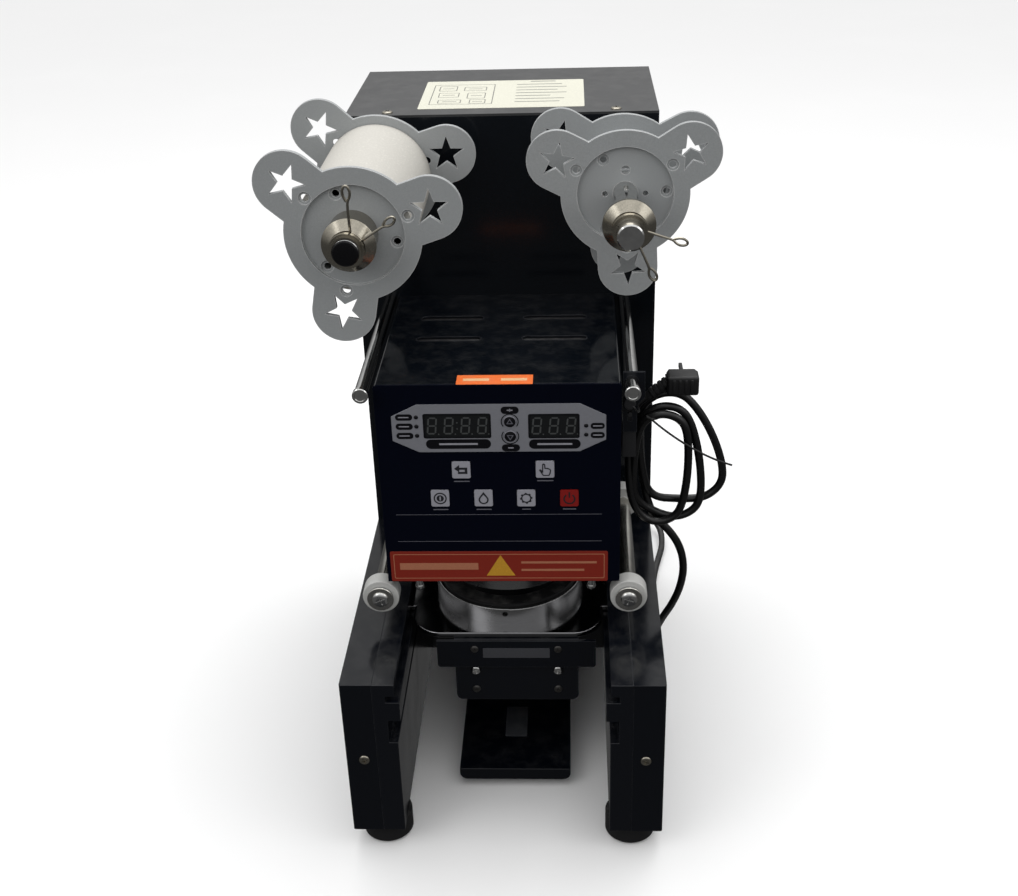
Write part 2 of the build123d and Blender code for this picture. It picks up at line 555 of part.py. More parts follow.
with BuildPart() as tray_rack:
    root = PITCH_Z + 1.25 * MODULE
    across = (RACK_X, RACK_X + RACK_FACE)
    slab(across, (RACK_REST, RACK_REST + RACK_LENGTH), (root, PITCH_Z + RACK_BODY))
    window_tab = (RACK_REST + 14.0, RACK_REST + 52.0)
    slab((FLANGE_END, RACK_X), window_tab, (TRAY_TOP - TRAY_THICK, TRAY_TOP - 1.0))
    half_tip = pi * MODULE / 4 - BACKLASH / 4 - MODULE * tan(PRESSURE)
    half_root = pi * MODULE / 4 - BACKLASH / 4 + 1.25 * MODULE * tan(PRESSURE)
    first = PINION_Y + pi * MODULE / 2
    below = int((first - RACK_REST - half_root) / (pi * MODULE))
    count = int((RACK_LENGTH - 2 * half_root) / (pi * MODULE))
    with BuildSketch(Plane(origin=(RACK_X, 0, 0), x_dir=(0, 1, 0), z_dir=(1, 0, 0))):
        for step in range(count):
            middle = first + (step - below) * pi * MODULE
            with BuildLine():
                Polyline(
                    (middle - half_root, root),
                    (middle - half_tip, PITCH_Z - MODULE),
                    (middle + half_tip, PITCH_Z - MODULE),
                    (middle + half_root, root),
                    close=True,
                )
            make_face()
    extrude(amount=RACK_FACE)
save(tray_rack, "tray_rack")

with BuildPart() as tray_gearmotor:
    gearbox_x = (RACK_X + RACK_FACE + 0.8, SIDE - SHEET)
    slab(gearbox_x, (PINION_Y - 10.0, PINION_Y + 10.0), (PINION_Z - 22.0, PINION_Z + 6.0))
    rod_y((RACK_X + SIDE - SHEET) / 2, PINION_Z - 25.0, 9.0, (PINION_Y - 10.0, PINION_Y + 45.0))
    slab(gearbox_x, (PINION_Y - 10.0, PINION_Y + 10.0), (PINION_Z - 32.0, PINION_Z - 20.0))
    rod_x(PINION_Y, PINION_Z, 2.5, (RACK_X - 1.0, gearbox_x[0]))
save(tray_gearmotor, "tray_gearmotor")

# ====================================================================================================
# Reels: spindles, three-lobed plates with hub stubs, film core and collars
# ====================================================================================================
FEED_NOSE = TOWER - 208.5
TAKEUP_NOSE = TOWER - 177.5
SPINDLE_END = TOWER + 35.0
REAR_FACE = TOWER - REAR_GAP
FEED_FACE = REAR_FACE - 2 * PLATE - CORE_LENGTH - 1.0
TAKEUP_FACE = TOWER - 74.0
SCREW_CIRCLE = 32.5
HUB_SCREW_R = 2.7
HUB_FLOOR = 3.5
BOSS_R = 16.0
LOBE_HOLE_REACH = 43.5
LOBE_HOLE_R = 3.0
SINK_R = 4.8
SINK = 1.2
STAR_R = 14.8
STAR_WAIST = 0.4


def star_points(middle, radius, turn):
    """Ten points of a five-pointed star with one point at the angle turn, in radians."""
    ring = [(radius if step % 2 == 0 else radius * STAR_WAIST, turn + step * pi / 5) for step in range(10)]
    return [(middle[0] + r * cos(a), middle[1] + r * sin(a)) for r, a in ring]


def reel_plate(name, word, face, turn, facing, extra_holes=()):
    """Three-lobed plate on a spindle; its hub stub points along facing (+1 back, -1 forward) from face."""
    x, z = REELS[word]
    axis_plane = Plane(origin=(x, face, z), x_dir=(1, 0, 0), z_dir=(0, -1, 0))
    lobes = [turn + step for step in (30, 150, 270)]
    floor = face + facing * POCKET
    hollow = floor + facing * HUB_FLOOR
    stub_end = face + facing * (PLATE + STUB_DEPTH)

    def around(angle, reach):
        return x + reach * cos(radians(angle)), z + reach * sin(radians(angle))

    with BuildPart() as plate:
        with BuildSketch(axis_plane):
            Circle(PLATE_R)
            for angle in lobes:
                with PolarLocations(LOBE_REACH, 1, start_angle=angle):
                    Circle(LOBE_R)
                with PolarLocations(LOBE_REACH / 2, 1, start_angle=angle):
                    Rectangle(LOBE_REACH, 2 * LOBE_R)
            for angle in lobes:
                middle = (LOBE_REACH * cos(radians(angle)), LOBE_REACH * sin(radians(angle)))
                with BuildLine():
                    Polyline(*star_points(middle, STAR_R, radians(angle)), close=True)
                make_face(mode=Mode.SUBTRACT)
        extrude(amount=-facing * PLATE)
        rod_y(x, z, STUB_R, (floor, stub_end))
        rod_y(x, z, POCKET_R, (face, floor), Mode.SUBTRACT)
        rod_y(x, z, STUB_R - STUB_WALL, (hollow, stub_end), Mode.SUBTRACT)
        rod_y(x, z, BOSS_R, (hollow, stub_end))
        rod_y(x, z, SPINDLE_R + SLIDE_FIT, (floor, stub_end), Mode.SUBTRACT)
        for angle in (turn, turn + 120, turn + 240):
            rod_y(*around(angle, SCREW_CIRCLE), HUB_SCREW_R, (floor, hollow), Mode.SUBTRACT)
            rod_y(*around(angle, SCREW_CIRCLE), SINK_R, (floor, floor + facing * SINK), Mode.SUBTRACT)
        for angle in lobes:
            through = (face, face + facing * PLATE)
            rod_y(*around(angle, LOBE_HOLE_REACH), LOBE_HOLE_R, through, Mode.SUBTRACT)
            rod_y(*around(angle, LOBE_HOLE_REACH), SINK_R, (face, face + facing * SINK), Mode.SUBTRACT)
        for dx, dz, radius in extra_holes:
            rod_y(x + dx, z + dz, radius, (floor, hollow), Mode.SUBTRACT)
    save(plate, name)


def collar(name, word, back, tail_end=None):
    """Clamp collar: a flange at back, a cone and a grooved neck in front, and a tail behind if it has one."""
    x, z = REELS[word]
    bore = SPINDLE_R + SLIDE_FIT
    profile = [(0, 20.0), (-2.5, 20.0), (-9.0, 13.0), (-9.0, 11.5), (-12.0, 11.5), (-12.0, 13.0)]
    profile += [(-16.0, 13.0), (-16.0, 11.5), (-COLLAR, 11.5), (-COLLAR, bore)]
    if tail_end is None:
        profile += [(0, bore)]
    else:
        profile += [(tail_end - back, bore), (tail_end - back, TAIL_R), (0, TAIL_R)]
    with BuildPart() as ring:
        with BuildSketch(Plane(origin=(x, back, z), x_dir=(0, 1, 0), z_dir=(1, 0, 0))):
            with BuildLine():
                Polyline(*profile, close=True)
            make_face()
        revolve(axis=Axis((x, back, z), (0, 1, 0)))
    save(ring, name)


COLLAR = 19.0
TAIL_R = 18.5
KEYWAY = (1.6, 18.0, 2.0)
for word, nose in (("feed", FEED_NOSE), ("takeup", TAKEUP_NOSE)):
    with BuildPart() as spindle:
        x, z = REELS[word]
        rod_y(x, z, SPINDLE_R, (nose, SPINDLE_END))
        chamfer(spindle.edges().group_by(Axis.Y)[0], 1.0)
        rod_y(x, z, SPINDLE_R + 5.0, (REAR_FACE - POCKET, REAR_FACE + 8.0))
        if word == "takeup":
            half, length, deep = KEYWAY
            start = TAKEUP_FACE + POCKET - 11.0 - length
            top = (z + SPINDLE_R - deep, z + SPINDLE_R)
            slab((x - half, x + half), (start + half, start + length - half), top, Mode.SUBTRACT)
            for y in (start + half, start + length - half):
                rod_z(x, y, half, top, Mode.SUBTRACT)
    save(spindle, f"{word}_spindle")

FEED_TURN, FEED_REAR_TURN = -11.0, -12.5
TAKEUP_TURN, TAKEUP_REAR_TURN = 2.5, -2.5
reel_plate("feed_rear_plate", "feed", REAR_FACE, FEED_REAR_TURN, -1)
reel_plate("feed_front_plate", "feed", FEED_FACE, FEED_TURN, 1)
reel_plate("takeup_rear_plate", "takeup", REAR_FACE, TAKEUP_REAR_TURN, -1)
KEYED_HOLES = ((0, 19.0, 3.6), (-15.9, 0, 2.3), (15.9, 0, 2.3))
reel_plate("takeup_front_plate", "takeup", TAKEUP_FACE, TAKEUP_TURN, 1, KEYED_HOLES)
collar("feed_collar", "feed", FEED_NOSE + COLLAR + 0.5, FEED_FACE + POCKET)
collar("takeup_collar", "takeup", TAKEUP_NOSE + COLLAR + 11.0)

with BuildPart() as film_core:
    x, z = REELS["feed"]
    core_y = (REAR_FACE - PLATE - 0.5 - CORE_LENGTH, REAR_FACE - PLATE - 0.5)
    rod_y(x, z, CORE_R, core_y)
    rod_y(x, z, STUB_R + TURN_GAP, core_y, Mode.SUBTRACT)
save(film_core, "film_core")

BEARING_R = 17.0
with BuildPart() as spindle_bearings:
    for axis in REELS.values():
        housing = (TOWER + SHEET, SPINDLE_END - 8.0)
        rod_y(*axis, 24.0, (TOWER + SHEET, TOWER + SHEET + 4.0))
        rod_y(*axis, BEARING_R, housing)
        rod_y(*axis, SPINDLE_R + SLIDE_FIT, housing, Mode.SUBTRACT)
save(spindle_bearings, "spindle_bearings")

with BuildPart() as takeup_gearmotor:
    x, z = REELS["takeup"]
    box_y = (SPINDLE_END + 2.0, SPINDLE_END + 34.0)
    slab((x - 24.0, x + 24.0), box_y, (z - 24.0, z + 24.0))
    rod_y(x, z, 18.0, (box_y[1], box_y[1] + 45.0))
    for dx in (-20.0, 20.0):
        for dz in (-20.0, 20.0):
            rod_y(x + dx, z + dz, 3.5, (TOWER + SHEET, box_y[0]))
    rod_y(x, z, SPINDLE_R + 1.0, (TOWER + SHEET, box_y[0]), Mode.SUBTRACT)
save(takeup_gearmotor, "takeup_gearmotor")

# ====================================================================================================
# Guide rods, film rollers and film sensor
# ====================================================================================================
ROD_NOSE = HEAD_FRONT - 9.0
ROLLER_NOSE = HEAD_FRONT + 3.0
ROLLER_R = 15.2
TUBE_R = 7.0
ROLLER_WIDTH = 14.0
AXLE_END = TOWER + 12.0

with BuildPart() as guide_rods:
    for side in (-1, 1):
        rod_y(side * ROD_X, ROD_Z, ROD_R, (ROD_NOSE, AXLE_END))
    chamfer(guide_rods.edges().group_by(Axis.Y)[0], 0.8)
save(guide_rods, "guide_rods")

with BuildPart() as roller_axles:
    for side in (-1, 1):
        rod_y(side * ROD_X, ROLLER_Z, AXLE_R, (ROLLER_NOSE - 1.0, AXLE_END))
        rod_y(side * ROD_X, ROLLER_Z, 10.3, (ROLLER_NOSE - 2.0, ROLLER_NOSE - 0.5))
        rod_y(side * ROD_X, ROLLER_Z, 6.0, (ROLLER_NOSE - 5.0, ROLLER_NOSE - 2.0))
save(roller_axles, "roller_axles")

for side, word in SIDES:
    with BuildPart() as roller:
        rod_y(side * ROD_X, ROLLER_Z, TUBE_R, (ROLLER_NOSE, REAR_FACE + 4.0))
        for y in (ROLLER_NOSE, REAR_FACE + 4.0 - ROLLER_WIDTH):
            rod_y(side * ROD_X, ROLLER_Z, ROLLER_R, (y, y + ROLLER_WIDTH))
        fillet(roller.edges().filter_by(GeomType.CIRCLE).filter_by(lambda e: e.radius > ROLLER_R - 0.1), 1.0)
        bore = (ROLLER_NOSE, REAR_FACE + 4.0)
        rod_y(side * ROD_X, ROLLER_Z, AXLE_R + SLIDE_FIT, bore, Mode.SUBTRACT)
    save(roller, f"{word}_film_roller")

SENSOR_Y = HEAD_FRONT + 9.5
with BuildPart() as sensor_bracket:
    bracket_y = (SENSOR_Y, SENSOR_Y + 2.0)
    with BuildSketch(Plane(origin=(ROD_X, SENSOR_Y, ROD_Z), x_dir=(1, 0, 0), z_dir=(0, -1, 0))):
        with BuildLine():
            outline = [(-6.5, 8.0), (10.0, 8.0), (10.5, -13.0), (4.5, -20.0), (4.5, -43.0), (-6.5, -43.0)]
            Polyline(*outline, close=True)
        make_face()
        Circle(ROD_R, mode=Mode.SUBTRACT)
        with Locations((-1.0, -27.5)):
            SlotOverall(12.0, 3.6, rotation=90, mode=Mode.SUBTRACT)
    extrude(amount=-2.0)
save(sensor_bracket, "sensor_bracket")

with BuildPart() as film_sensor:
    slab((ROD_X - 6.5, ROD_X + 4.0), (SENSOR_Y + 2.0, SENSOR_Y + 22.0), (ROD_Z - 66.0, ROD_Z - 38.0))
    rod_y(ROD_X - 1.0, ROD_Z - 27.5, 1.7, (SENSOR_Y - 1.5, SENSOR_Y + 6.0))
    slab((ROD_X - 5.0, ROD_X + 3.0), (SENSOR_Y + 2.0, SENSOR_Y + 6.0), (ROD_Z - 38.0, ROD_Z - 24.0))
save(film_sensor, "film_sensor")

# ====================================================================================================
# Inside the tower, and the mains cord
# ====================================================================================================
with BuildPart() as power_supply:
    slab((-90.0, 20.0), (BACK - 60.0, BACK - SHEET), (60.0, 220.0))
    with Locations((-35.0, BACK - 60.0, 140.0)):
        with GridLocations(14.0, 0.1, 6, 1):
            Box(6.0, 1.0, 120.0, mode=Mode.SUBTRACT)
save(power_supply, "power_supply")

CORD_R = 3.4
RELIEF_END = BACK + 30.0
with BuildPart() as cable_gland:
    rod_y(GLAND_X, GLAND_Z, GLAND_R, (BACK - 8.0, BACK))
    rod_y(GLAND_X, GLAND_Z, GLAND_R + 3.5, (BACK, BACK + 6.0))
    rod_y(GLAND_X, GLAND_Z, GLAND_R + 3.0, (BACK - 8.0, BACK - SHEET))
    with Locations((GLAND_X, (BACK + 6.0 + RELIEF_END) / 2, GLAND_Z)):
        Cone(7.0, 4.8, RELIEF_END - BACK - 6.0, rotation=(-90, 0, 0))
save(cable_gland, "cable_gland")

# Route of the mains cord, from the gland, along the bench on the right, up to the hank
CORD_ROUTE = [
    (GLAND_X, RELIEF_END, GLAND_Z),
    (80.5, 265.0, 58.5),
    (80.5, 289.0, 53.0),
    (95.0, 311.0, 44.0),
    (120.0, 319.0, 33.0),
    (144.5, 311.0, 21.0),
    (159.0, 290.0, 11.5),
    (160.0, 264.0, 6.0),
    (154.5, 239.0, 4.2),
    (148.5, 213.0, 4.6),
    (144.0, 180.0, 4.2),
    (141.0, 144.0, 4.6),
    (139.0, 108.0, 8.5),
    (138.5, 74.0, 21.0),
    (139.5, 44.0, 43.0),
    (139.5, 15.0, 71.0),
    (141.5, -12.0, 99.0),
    (147.0, -35.0, 128.0),
    (152.5, -50.5, 157.0),
    (154.5, -59.0, 184.0),
    (150.0, -63.0, 208.0),
    (139.5, -64.5, 226.0),
    (126.0, -64.0, 239.0),
]
HANK = (144.0, -61.5, 297.0)
HANK_HALF = (36.0, 60.0)
HANK_THICK = 22.0
PLUG = (147.0, -61.5, 368.5)


def arc_radii(route):
    """Largest even arc at each corner of a route: 0.45 of the shorter run over the tan of half the turn."""
    points = [Vector(*point) for point in route]
    radii = []
    for before, corner, after in zip(points, points[1:], points[2:]):
        shorter = min((corner - before).length, (after - corner).length)
        radii.append(0.45 * shorter / tan(radians((corner - before).get_angle(after - corner) / 2)))
    return radii


RADII = arc_radii(CORD_ROUTE)
print("cord arc radii", [round(radius) for radius in RADII])
with BuildPart() as power_cord:
    with BuildLine() as cord_line:
        FilletPolyline(*CORD_ROUTE, radius=RADII)
    with BuildSketch(Plane(origin=cord_line.line @ 0, z_dir=cord_line.line % 0)):
        Circle(CORD_R)
    sweep(path=cord_line.line)
cord_length = sum(edge.length for edge in cord_line.edges())
print("cord tube length", cord_length, "volume", power_cord.part.volume)
print("section times length", pi * CORD_R**2 * cord_length)
save(power_cord, "power_cord")

with BuildPart() as cord_hank:
    with BuildSketch(Plane(origin=HANK, x_dir=(1, 0, 0), z_dir=(0, -1, 0))):
        Ellipse(*HANK_HALF)
    extrude(amount=HANK_THICK / 2, both=True)
save(cord_hank, "cord_hank")

with BuildPart() as power_plug:
    with Locations(PLUG):
        Box(32.0, 24.0, 24.0)
    chamfer(power_plug.edges().filter_by(Axis.Y), 5.0)
    with Locations((PLUG[0] - 19.0, PLUG[1], PLUG[2] - 9.0)):
        Cylinder(4.6, 22.0, rotation=(0, 50, 0))
    for dx, dz, turn in ((-6.0, -3.0, 30.0), (6.0, -3.0, -30.0), (0.0, 6.0, 0.0)):
        with Locations((PLUG[0] + dx, PLUG[1] + 20.0, PLUG[2] + dz)):
            Box(1.6, 18.0, 6.4, rotation=(0, turn, 0))
save(power_plug, "power_plug")
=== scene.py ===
"""Finish and fine detail of a tabletop cup sealing machine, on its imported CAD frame."""

import logging
import math
from collections.abc import Sequence
from dataclasses import dataclass, field
from enum import Enum

import bpy
from mathutils import Matrix, Vector


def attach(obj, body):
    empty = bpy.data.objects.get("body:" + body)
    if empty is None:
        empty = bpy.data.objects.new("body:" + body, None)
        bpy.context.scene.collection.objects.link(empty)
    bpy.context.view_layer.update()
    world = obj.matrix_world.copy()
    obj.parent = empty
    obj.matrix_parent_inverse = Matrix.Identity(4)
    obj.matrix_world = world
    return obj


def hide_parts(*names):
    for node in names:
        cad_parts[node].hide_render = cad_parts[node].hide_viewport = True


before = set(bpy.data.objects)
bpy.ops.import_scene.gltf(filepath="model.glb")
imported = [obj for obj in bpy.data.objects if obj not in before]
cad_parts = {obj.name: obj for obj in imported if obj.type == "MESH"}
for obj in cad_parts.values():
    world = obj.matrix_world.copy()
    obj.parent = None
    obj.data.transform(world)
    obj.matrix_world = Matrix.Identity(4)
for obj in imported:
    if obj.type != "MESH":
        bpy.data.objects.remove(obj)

LOG = logging.getLogger("cup_sealing_machine")
MM = 0.001
SMOOTH_ANGLE = math.radians(32.0)
SOFTEN_ANGLE = math.radians(35.0)
FLAT_ANGLE = math.radians(0.8)
WELD_DISTANCE = 0.00001
WEAR_AND_HIGHLIGHT_RADIUS = 0.0009
BUMP_HEIGHT = 0.0004
COAT_ROUGHNESS = 0.06
DUST_COLOUR = (0.5, 0.49, 0.47)
MARKS_SCALE = 22.0
DUST_SCALE = 60.0
WEAR_AND_HIGHLIGHT_SCALE = 90.0
Triple = tuple[float, float, float]
Pair = tuple[float, float]


# ----------------------------------------------------------------------------------------------------
# Modelling by hand: primitives, edit mode and placing
# ----------------------------------------------------------------------------------------------------
class Facing(Enum):
    """The way that a flat or turned piece looks."""

    FRONT = (0.0, -1.0, 0.0)
    BACK = (0.0, 1.0, 0.0)
    TOP = (0.0, 0.0, 1.0)
    LEFT = (-1.0, 0.0, 0.0)
    RIGHT = (1.0, 0.0, 0.0)

    def matrix(self, origin: Triple) -> Matrix:
        """Frame with its Z along the facing.

        Args:
            origin: place of the frame in millimetres.

        Returns:
            The frame as a matrix in metres.
        """
        out = Vector(self.value)
        right = Vector((0.0, 0.0, 1.0)).cross(out)
        if right.length < 0.5:
            right = Vector((1.0, 0.0, 0.0))
        up = out.cross(right)
        turn = Matrix((right, up, out)).transposed().to_4x4()
        return Matrix.Translation(Vector(origin) * MM) @ turn


def deselect() -> None:
    """Leave edit mode and select nothing."""
    if bpy.context.mode != "OBJECT":
        bpy.ops.object.mode_set(mode="OBJECT")
    bpy.ops.object.select_all(action="DESELECT")


def make_active(piece: bpy.types.Object) -> bpy.types.Object:
    """Select one piece alone and make it active.

    Args:
        piece: the object to work on.

    Returns:
        The same object.
    """
    deselect()
    piece.select_set(True)
    bpy.context.view_layer.objects.active = piece
    return piece


def settle(piece: bpy.types.Object, matrix: Matrix | None = None) -> bpy.types.Object:
    """Put the piece's place into its mesh.

    Args:
        piece: a mesh object.
        matrix: where it goes, or None to keep its own place.

    Returns:
        The piece, at the origin.
    """
    make_active(piece)
    if matrix is not None:
        piece.matrix_world = matrix
    bpy.ops.object.transform_apply(location=True, rotation=True, scale=True)
    return piece


def close_mesh(piece: bpy.types.Object, merge: float = 1e-6) -> None:
    """Merge doubled points and turn the faces outwards.

    Args:
        piece: a mesh object.
        merge: merging distance in metres.
    """
    make_active(piece)
    bpy.ops.object.mode_set(mode="EDIT")
    bpy.ops.mesh.select_all(action="SELECT")
    bpy.ops.mesh.remove_doubles(threshold=merge)
    bpy.ops.mesh.normals_make_consistent(inside=False)
    bpy.ops.object.mode_set(mode="OBJECT")


def block(name: str, low: Triple, high: Triple, edge: float = 0.0, steps: int = 2) -> bpy.types.Object:
    """A cuboid with rounded edges.

    Args:
        name: object name.
        low: lowest corner in millimetres.
        high: highest corner in millimetres.
        edge: edge radius in millimetres.
        steps: faces across an edge.

    Returns:
        The new piece.
    """
    deselect()
    middle = [(a + b) / 2 * MM for a, b in zip(low, high)]
    size = [(b - a) * MM for a, b in zip(low, high)]
    bpy.ops.mesh.primitive_cube_add(size=1.0, location=middle)
    piece = bpy.context.active_object
    piece.name = name
    piece.scale = size
    settle(piece)
    if edge:
        bpy.ops.object.mode_set(mode="EDIT")
        bpy.ops.mesh.select_all(action="SELECT")
        bpy.ops.mesh.bevel(offset=edge * MM, segments=steps, affect="EDGES")
        bpy.ops.object.mode_set(mode="OBJECT")
    return piece


def lathe(
    name: str, profile: Sequence[Pair], origin: Triple, facing: Facing, steps: int = 40
) -> bpy.types.Object:
    """A turned piece, spun from its half section.

    Args:
        name: object name.
        profile: (radius, height) points in millimetres, from axis to axis.
        origin: where height 0 is, in millimetres.
        facing: the way that heights grow.
        steps: faces round the turn.

    Returns:
        The new piece.
    """
    curve = bpy.data.curves.new(name, "CURVE")
    curve.dimensions = "3D"
    spline = curve.splines.new("POLY")
    spline.points.add(len(profile) - 1)
    for point, (radius, height) in zip(spline.points, profile):
        point.co = (radius * MM, 0.0, height * MM, 1.0)
    piece = bpy.data.objects.new(name, curve)
    bpy.context.scene.collection.objects.link(piece)
    make_active(piece)
    bpy.ops.object.convert(target="MESH")
    piece = bpy.context.active_object
    bpy.ops.object.mode_set(mode="EDIT")
    bpy.ops.mesh.select_all(action="SELECT")
    bpy.ops.mesh.spin(steps=steps, angle=math.tau, center=(0, 0, 0), axis=(0, 0, 1))
    bpy.ops.object.mode_set(mode="OBJECT")
    close_mesh(piece)
    return settle(piece, facing.matrix(origin))


def flat_shape(
    name: str, outlines: Sequence[Sequence[Pair]], origin: Triple, facing: Facing, thick: float
) -> bpy.types.Object:
    """A flat figure cut from sheet; an outline inside another is a hole.

    Args:
        name: object name.
        outlines: closed outlines in millimetres, across and up.
        origin: place of the sheet's back face in millimetres.
        facing: the way that its front looks.
        thick: thickness in millimetres.

    Returns:
        The new piece.
    """
    curve = bpy.data.curves.new(name, "CURVE")
    curve.dimensions = "2D"
    curve.fill_mode = "BOTH"
    curve.extrude = thick / 2 * MM
    for outline in outlines:
        spline = curve.splines.new("POLY")
        spline.points.add(len(outline) - 1)
        spline.use_cyclic_u = True
        for point, (across, up) in zip(spline.points, outline):
            point.co = (across * MM, up * MM, 0.0, 1.0)
    piece = bpy.data.objects.new(name, curve)
    bpy.context.scene.collection.objects.link(piece)
    make_active(piece)
    bpy.ops.object.convert(target="MESH")
    piece = bpy.context.active_object
    close_mesh(piece)
    return settle(piece, facing.matrix(origin) @ Matrix.Translation((0, 0, thick / 2 * MM)))


def wire(name: str, points: Sequence[Triple], radius: float, smooth: bool = True) -> bpy.types.Object:
    """A bent wire with closed ends.

    Args:
        name: object name.
        points: control points in millimetres.
        radius: radius of the wire in millimetres.
        smooth: whether the wire bends smoothly.

    Returns:
        The new piece as a mesh.
    """
    curve = bpy.data.curves.new(name, "CURVE")
    curve.dimensions = "3D"
    curve.bevel_depth = radius * MM
    curve.bevel_resolution = 3
    curve.use_fill_caps = True
    curve.resolution_u = 6
    spline = curve.splines.new("NURBS" if smooth else "POLY")
    spline.points.add(len(points) - 1)
    for point, place in zip(spline.points, points):
        point.co = (*(value * MM for value in place), 1.0)
    if smooth:
        spline.order_u = 3
        spline.use_endpoint_u = True
    piece = bpy.data.objects.new(name, curve)
    bpy.context.scene.collection.objects.link(piece)
    make_active(piece)
    bpy.ops.object.convert(target="MESH")
    piece = bpy.context.active_object
    close_mesh(piece)
    return settle(piece)


def join(name: str, pieces: Sequence[bpy.types.Object]) -> bpy.types.Object:
    """Join pieces into one object.

    Args:
        name: name of the joined object.
        pieces: the pieces, all meshes.

    Returns:
        The joined piece.
    """
    make_active(pieces[0])
    for piece in pieces:
        piece.select_set(True)
    if len(pieces) > 1:
        bpy.ops.object.join()
    pieces[0].name = name
    return pieces[0]


def twin(piece: bpy.types.Object, matrix: Matrix) -> bpy.types.Object:
    """Copy a piece, with its own mesh, to another place.

    Args:
        piece: the pattern, modelled at the origin.
        matrix: where the copy goes.

    Returns:
        The copy.
    """
    copy = piece.copy()
    copy.data = piece.data.copy()
    bpy.context.scene.collection.objects.link(copy)
    return settle(copy, matrix)


def cut(piece: bpy.types.Object, tool: bpy.types.Object) -> None:
    """Cut one closed piece with another, which is used up.

    Args:
        piece: the piece that is kept.
        tool: the cutting shape.
    """
    make_active(piece)
    modifier = piece.modifiers.new("cut", "BOOLEAN")
    modifier.operation = "DIFFERENCE"
    modifier.object = tool
    modifier.solver = "EXACT"
    bpy.ops.object.modifier_apply(modifier="cut")
    bpy.data.objects.remove(tool)


def soften(piece: bpy.types.Object, width: float, steps: int = 2) -> None:
    """Break the sharp edges with an applied bevel.

    Args:
        piece: a mesh object.
        width: width of the bevel in millimetres.
        steps: faces across an edge.
    """
    make_active(piece)
    modifier = piece.modifiers.new("soften", "BEVEL")
    modifier.width = width * MM
    modifier.segments = steps
    modifier.limit_method = "ANGLE"
    modifier.angle_limit = SOFTEN_ANGLE
    bpy.ops.object.modifier_apply(modifier="soften")


def rounded(middle: Pair, half: Pair, corner: float, steps: int = 6) -> list[Pair]:
    """Outline of a rectangle with round corners.

    Args:
        middle: centre, across and up.
        half: half width and half height.
        corner: corner radius.
        steps: points on each corner, less one.

    Returns:
        The outline's points in order.
    """
    points = []
    for index, (sx, sz) in enumerate([(1, 1), (-1, 1), (-1, -1), (1, -1)]):
        for step in range(steps + 1):
            angle = math.radians(90.0 * index + 90.0 * step / steps)
            across = middle[0] + sx * (half[0] - corner) + corner * math.cos(angle)
            up = middle[1] + sz * (half[1] - corner) + corner * math.sin(angle)
            points.append((across, up))
    return points


def bar(start: Pair, end: Pair, width: float) -> list[Pair]:
    """Outline of a straight stroke.

    Args:
        start: one end.
        end: the other end.
        width: width of the stroke.

    Returns:
        Four corners.
    """
    dx, dz = end[0] - start[0], end[1] - start[1]
    length = math.hypot(dx, dz)
    nx, nz = -dz / length * width / 2, dx / length * width / 2
    return [
        (start[0] + nx, start[1] + nz),
        (start[0] - nx, start[1] - nz),
        (end[0] - nx, end[1] - nz),
        (end[0] + nx, end[1] + nz),
    ]


def ring(middle: Pair, radius: float, start: float = 0.0, end: float = 360.0, steps: int = 32) -> list[Pair]:
    """Points along an arc or a whole circle.

    Args:
        middle: centre of the arc.
        radius: its radius.
        start: first angle in degrees.
        end: last angle in degrees.
        steps: number of steps.

    Returns:
        The points, without a repeated last point on a whole circle.
    """
    count = steps if abs(end - start) >= 360.0 else steps + 1
    angles = [math.radians(start + (end - start) * step / steps) for step in range(count)]
    return [(middle[0] + radius * math.cos(a), middle[1] + radius * math.sin(a)) for a in angles]


def band(middle: Pair, radius: float, width: float, start: float, end: float, steps: int = 24) -> list[Pair]:
    """Outline of a curved stroke.

    Args:
        middle: centre of the arc.
        radius: radius of the stroke's middle line.
        width: width of the stroke.
        start: first angle in degrees.
        end: last angle in degrees.
        steps: steps along each side.

    Returns:
        A closed outline.
    """
    outer = ring(middle, radius + width / 2, start, end, steps)
    inner = ring(middle, radius - width / 2, start, end, steps)
    return outer + inner[::-1]


